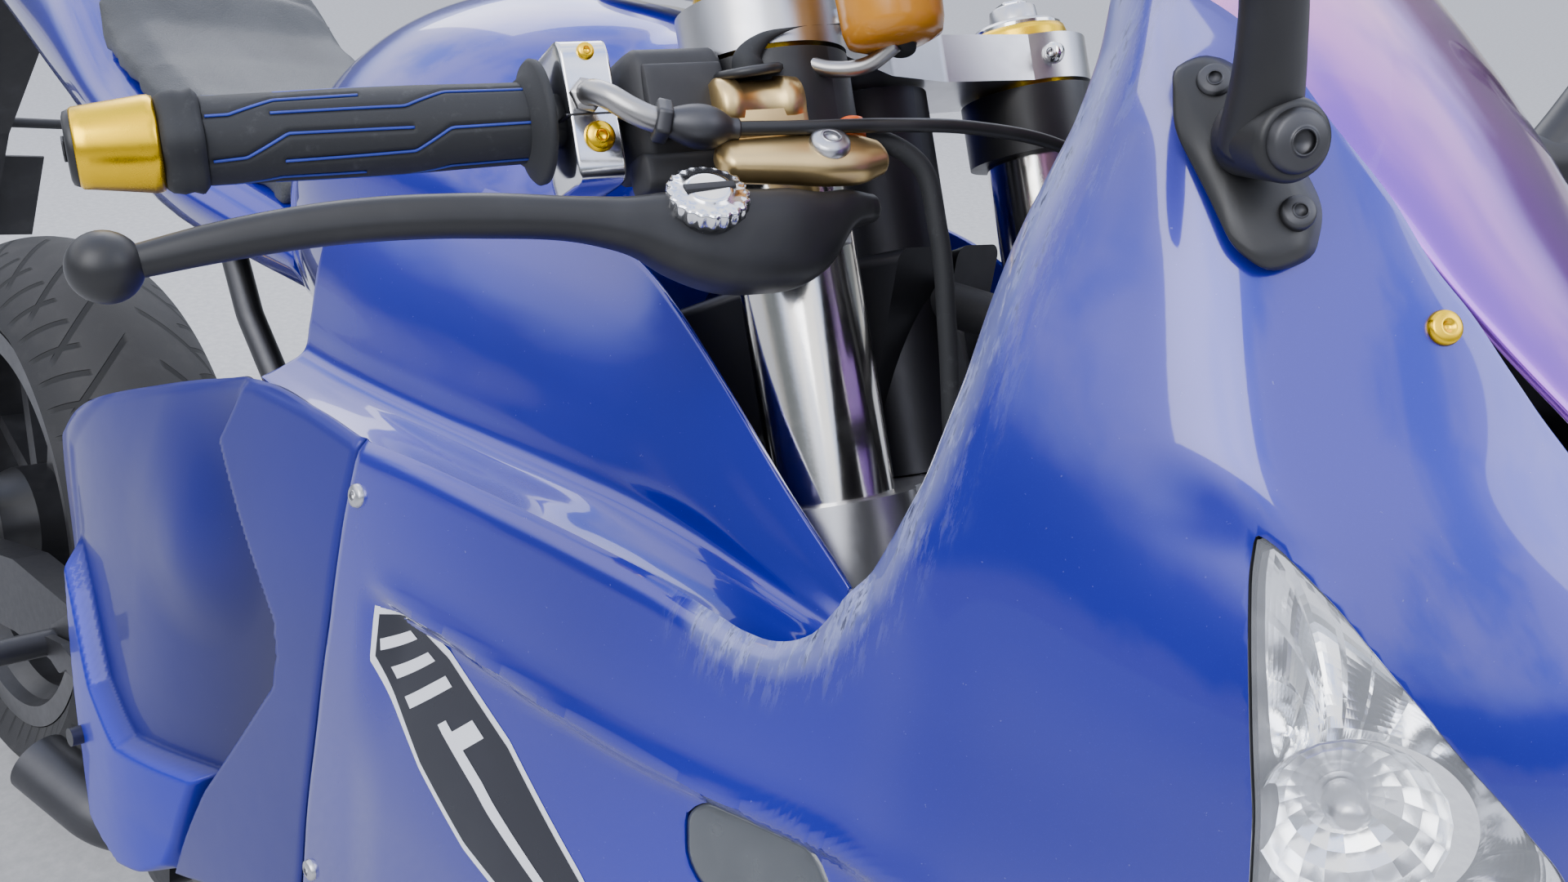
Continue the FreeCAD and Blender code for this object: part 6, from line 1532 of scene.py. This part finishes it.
def buildMirrors():
    # A pad on the nose, a swivel with its socket screw, a bowed stem and the glass in its shell
    ahead, left, up = np.eye(3)
    pad = outlineSheet(roundedOutline(mirror["foot"], 6), [1.0, 1.0, 0.97, 0.90, 0.80, 0.5, 0.0],
                       [-1, 5, 8.4, 10.4, 11.4, 12.6, 13.6]) * flip
    stem = hosePoints(mirror["stem"], 8.5, 90, 32,
                      ([0, 0.12, 0.5, 0.85, 1], [12, 10.4, 8.4, 7.6, 9]))
    eye = turnedPart([(-15, 9), (-13.5, 11), (-11, 12), (11, 12), (13.5, 11), (14, 9.6)],
                     mirror["swivel"], mirror["swivelAxis"], 56)
    head = loftPoints(mirror["head"], -left, ahead, up, 60, 48, 0.6)
    made = pairPiece("mirror", [pad, stem, eye, head], "black")
    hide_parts("mirrors")
    face = np.array(mirror["swivel"]) + 14 * np.array(mirror["swivelAxis"])
    cap = domedScrew(face, mirror["swivelAxis"], 9.4, 4.6, 0.42)
    pairPiece("mirror_screw", [cap] + skinScrews(((1308, 969), (1341, 936)), 9.4, 5.4, 2.4),
              "darkMetal")
    share, turn = np.meshgrid(np.linspace(1, 0, 14), fullTurn(60), indexing="ij")
    a, b = squareRound(turn, 3.0)
    glassGrid = np.stack([1304.6 - 2.2 * (1 - share ** 2), -(295 + 49 * share * a),
                          1052 + 31 * share * b], -1)
    pairPiece("mirror_glass", [glassGrid], "mirrorGlass")


seat = {"voxel": 0.006, "cap": 0.005, "pressure": 4.0, "frames": 20, "shrink": 0.985, "fill": 0.8,
        # the pads part at this x
        "parting": 336}


def coordinates(mesh):
    points = np.empty(len(mesh.vertices) * 3, np.float32)
    mesh.vertices.foreach_get("co", points)
    return points.reshape(-1, 3)


def puffed(piece, settings):
    # Cloth blown up by a small pressure, no point moving more than a cap, then one subdivision
    fine = piece.modifiers.new("remesh", "REMESH")
    fine.mode, fine.voxel_size, fine.use_smooth_shade = "VOXEL", settings["voxel"], True
    applyModifiers(piece)
    before = coordinates(piece.data)
    cloth = piece.modifiers.new("cloth", "CLOTH")
    cloth.settings.use_pressure = True
    cloth.settings.uniform_pressure_force = settings["pressure"]
    cloth.settings.effector_weights.gravity = 0
    cloth.settings.quality = 4
    cloth.point_cache.frame_end = settings["frames"]
    for frame in range(1, settings["frames"] + 1):
        bpy.context.scene.frame_set(frame)
    applyModifiers(piece)
    bpy.context.scene.frame_set(1)
    moved = coordinates(piece.data) - before
    far = np.linalg.norm(moved, axis=1, keepdims=True)
    placed = before + moved * np.minimum(1, settings["cap"] / np.maximum(far, 1e-9))
    piece.data.vertices.foreach_set("co", placed.ravel().astype(np.float32))
    finishShape(piece, subdivide=1)
    piece.data.shade_smooth()


def buildSeats():
    # The seats' own solids, drawn in to 98.5% about their middles and then blown up as cloth
    source = nodes["seats"].data
    faces = np.empty(len(source.loops), np.int32)
    source.loops.foreach_get("vertex_index", faces)
    bike = toBike(coordinates(source))
    faces = faces.reshape(-1, 3)
    parted = bike[faces].mean(axis=1)[:, 0] > seat["parting"]
    for name, chosen in (("rider_pad", parted), ("pillion_pad", ~parted)):
        used, index = np.unique(faces[chosen], return_inverse=True)
        corner = bike[used]
        middle = (corner.max(axis=0) + corner.min(axis=0)) / 2
        corner = middle + (corner - middle) * seat["shrink"]
        mesh = bpy.data.meshes.new(name)
        mesh.from_pydata(toRow(corner), [], index.reshape(-1, 3).tolist())
        tidyMesh(mesh, 0.0002)
        made = newObject(name, mesh, "seat", "chassis")
        puffed(made, seat)
        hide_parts("seats")


dash = {"corner": (1234, 0, 898), "tilt": 18, "half": (72, 40), "middle": 46,
        # share of the outline, rise towards the rider
        "surround": [(1, -1), (1, 3.4), (0.96, 4.4), (0.90, 4.4), (0.86, 3.0), (0.84, 1.0)],
        "face": [(0.85, 1.4), (0.5, 1.4), (0.3, 1.4), (0.1, 1.4), (0.0, 1.4)]}


def buildDash():
    # A gloss face with a raised surround on the instruments' rider side
    a, b = squareRound(fullTurn(96), 4.5)
    slope = math.radians(dash["tilt"])
    along = np.array([math.cos(slope), 0, -math.sin(slope)])
    up = np.array([math.sin(slope), 0, math.cos(slope)])

    def ring(share, raised):
        y = dash["half"][0] * a - np.sign(a) * (1 - share) * 10
        z = dash["half"][1] * b - np.sign(b) * (1 - share) * 10
        if share <= 0.5:
            y, z = y * share * 2, z * share * 2
        return (np.array(dash["corner"]) - along * raised + np.outer(y, [0, 1, 0])
                + np.outer(z + dash["middle"], up))

    surround, face = (np.array([ring(*row) for row in dash[key]]) for key in ("surround", "face"))
    bikePiece("dash_surround", [(surround, True)], "blackRough")
    bikePiece("dash_face", [(face, True)], "dashFace")


buildMidPanels()
buildBelly()
buildMudguard()
buildLamps()
buildPrints()
buildScrews()
buildMirrors()
print("panels, lamps and mirrors built")
buildSeats()
buildDash()
print("seats and instruments built")

# What each CAD node that still shows is made of

nodeLooks = {
    "front_tyre": "frontTyre", "rear_tyre": "rearTyre", "front_rim": "rim", "rear_rim": "rim",
    "front_discs": "steel", "rear_disc": "steel", "rear_sprocket": "steel", "drive_chain": "chain",
    "fork_tubes": "fork", "fork_legs": "silver", "front_axle": "steel", "rear_axle": "steel",
    "front_calipers": "gold", "rear_caliper": "gold", "lower_clamp": "silver",
    "top_clamp": "silver",
    "clip_ons": "black", "grips": "grip", "bar_ends": "gold", "throttle_housing": "bright",
    "switch_pods": "blackRough", "master_cylinder": "champagne", "brake_lever": "black",
    "clutch_perch": "champagne", "clutch_lever": "black", "fluid_reservoir": "amber",
    "front_fender": "blue", "engine_block": "casting", "main_frame": "frameMetal",
    "swingarm": "frameMetal", "rear_shock": "steel", "radiator": "darkMetal",
    "exhaust_pipes": "exhaust", "silencer": "darkMetal", "fuel_tank": "blue", "fuel_cap": "silver",
    "subframe": "darkMetal", "tail_cowl": "blue", "seats": "seat", "tail_light": "redLens",
    "rear_fender": "blackRough", "headlights": "lens", "side_cowls": "blue",
    "mid_panels": "satinBlue",
    "belly_cowl": "blue", "windscreen": "screen", "cowl_stay": "blackRough",
    "instrument_cluster": "blackRough", "upper_cowl": "blue", "mirrors": "black",
    "front_signals": "smoke", "rearsets": "darkMetal", "side_stand": "steel",
}
for name, node in nodes.items():
    node.data.materials.clear()
    node.data.materials.append(looks[nodeLooks[name]])
print("nodes painted")

# Floor, light and the camera at the photo's place

# at in the bike's frame, turns in degrees, focal length and width in pixels, the sensor in mm
view = {"at": (1498, -540, 973), "heading": 130.3, "pitch": 17.7, "roll": 8.8, "focal": 1617,
        "across": 1920, "sensor": 36}
lights = [("key", (1.6, -3.2, 3.6), 2.6, 120), ("fill", (3.4, 1.6, 2.8), 2.2, 40),
          ("back", (-2.6, 1.8, 3.2), 2.4, 60)]


def buildStage():
    # A speckled floor and three area lights that face the bike's middle
    shade = Shade("pale floor")
    speck = shade.noise(60, 5, 0.7)
    colours = shade.blend(shade.mask(speck, 0.3, 0.8), (0.40, 0.395, 0.385), (0.50, 0.495, 0.48))
    normal = shade.bump(shade.noise(300, 3), 0.1, 0.001)
    floorLook = shade.surface({"Base Color": colours, "Roughness": 0.85, "Normal": normal})
    mesh = bpy.data.meshes.new("floor")
    mesh.from_pydata([(-14, -14, 0), (14, -14, 0), (14, 14, 0), (-14, 14, 0)], [], [(0, 1, 2, 3)])
    mesh.materials.append(floorLook)
    made = [linked("floor", mesh)]
    for name, place, size, power in lights:
        lamp = bpy.data.lights.new(name, "AREA")
        lamp.energy, lamp.size = power, size
        lampObject = linked(name, lamp)
        lampObject.matrix_world = facing(np.array(place), np.array(place) - np.array([0.3, 0, 0.7]))
        made.append(lampObject)


def buildSky():
    # Trees and clouds for reflections; what the camera sees directly is one pale grey
    sky = Shade("sky", "worlds")
    bpy.context.scene.world = sky.owner
    direction = sky.node("ShaderNodeTexCoord", output="Generated")
    height = sky.node("ShaderNodeSeparateXYZ", None, {"Vector": direction}, "Z")
    clouds = sky.noise(2.6, 6.0, 0.58, direction)
    trees = sky.noise(5.0, 5.0, 0.6, direction)
    base = sky.ramp(height * 0.5 + 0.5 + (trees - 0.5) * 0.10,
                    [(0.0, (0.30, 0.30, 0.31)), (0.49, (0.30, 0.30, 0.30)),
                     (0.52, (0.09, 0.10, 0.11)), (0.60, (0.11, 0.12, 0.13)),
                     (0.645, (0.42, 0.52, 0.80)), (0.85, (0.36, 0.50, 0.95))])
    white = sky.mask(clouds, 0.37, 0.56) * sky.mask(height, 0.20, 0.38)
    colour = sky.blend(white, base, (1.0, 1.0, 1.02))
    seen = sky.node("ShaderNodeLightPath", output="Is Camera Ray")
    colour = sky.blend(seen, colour, (0.42, 0.43, 0.45))
    glow = sky.node("ShaderNodeBackground", None, {"Color": colour, "Strength": 2.1})
    sky.finish(glow, "ShaderNodeOutputWorld")


def placed(columns, place):
    # The matrix whose first three columns are given and whose last is the place
    return Matrix([[*row, place[i]] for i, row in enumerate(columns)] + [[0, 0, 0, 1]])


def facing(place, back):
    # A matrix at a place whose local z points back along a vector
    back = unit(np.asarray(back, float))
    right = unit(np.cross([0, 0, 1], back))
    return placed(np.stack([right, np.cross(back, right), back], 1), place)


def buildCamera():
    heading, pitch, roll = (math.radians(view[key]) for key in ("heading", "pitch", "roll"))
    ahead = np.array([math.cos(pitch) * math.cos(heading), math.cos(pitch) * math.sin(heading),
                      -math.sin(pitch)])
    right = unit(np.cross(ahead, [0, 0, 1]))
    up = np.cross(right, ahead)
    tilted = right * math.cos(roll) + up * math.sin(roll)
    upright = up * math.cos(roll) - right * math.sin(roll)
    columns = np.stack([tilted @ bikeAxes, upright @ bikeAxes, -ahead @ bikeAxes], 1)
    camera = bpy.data.cameras.new("camera")
    camera.lens = view["focal"] / view["across"] * view["sensor"]
    camera.sensor_width = view["sensor"]
    camera.clip_start, camera.clip_end = 0.02, 60
    eye = linked("camera", camera)
    eye.matrix_world = placed(columns, toRow(view["at"]))
    bpy.context.scene.camera = eye


buildStage()
buildSky()
buildCamera()
print("stage and camera ready")
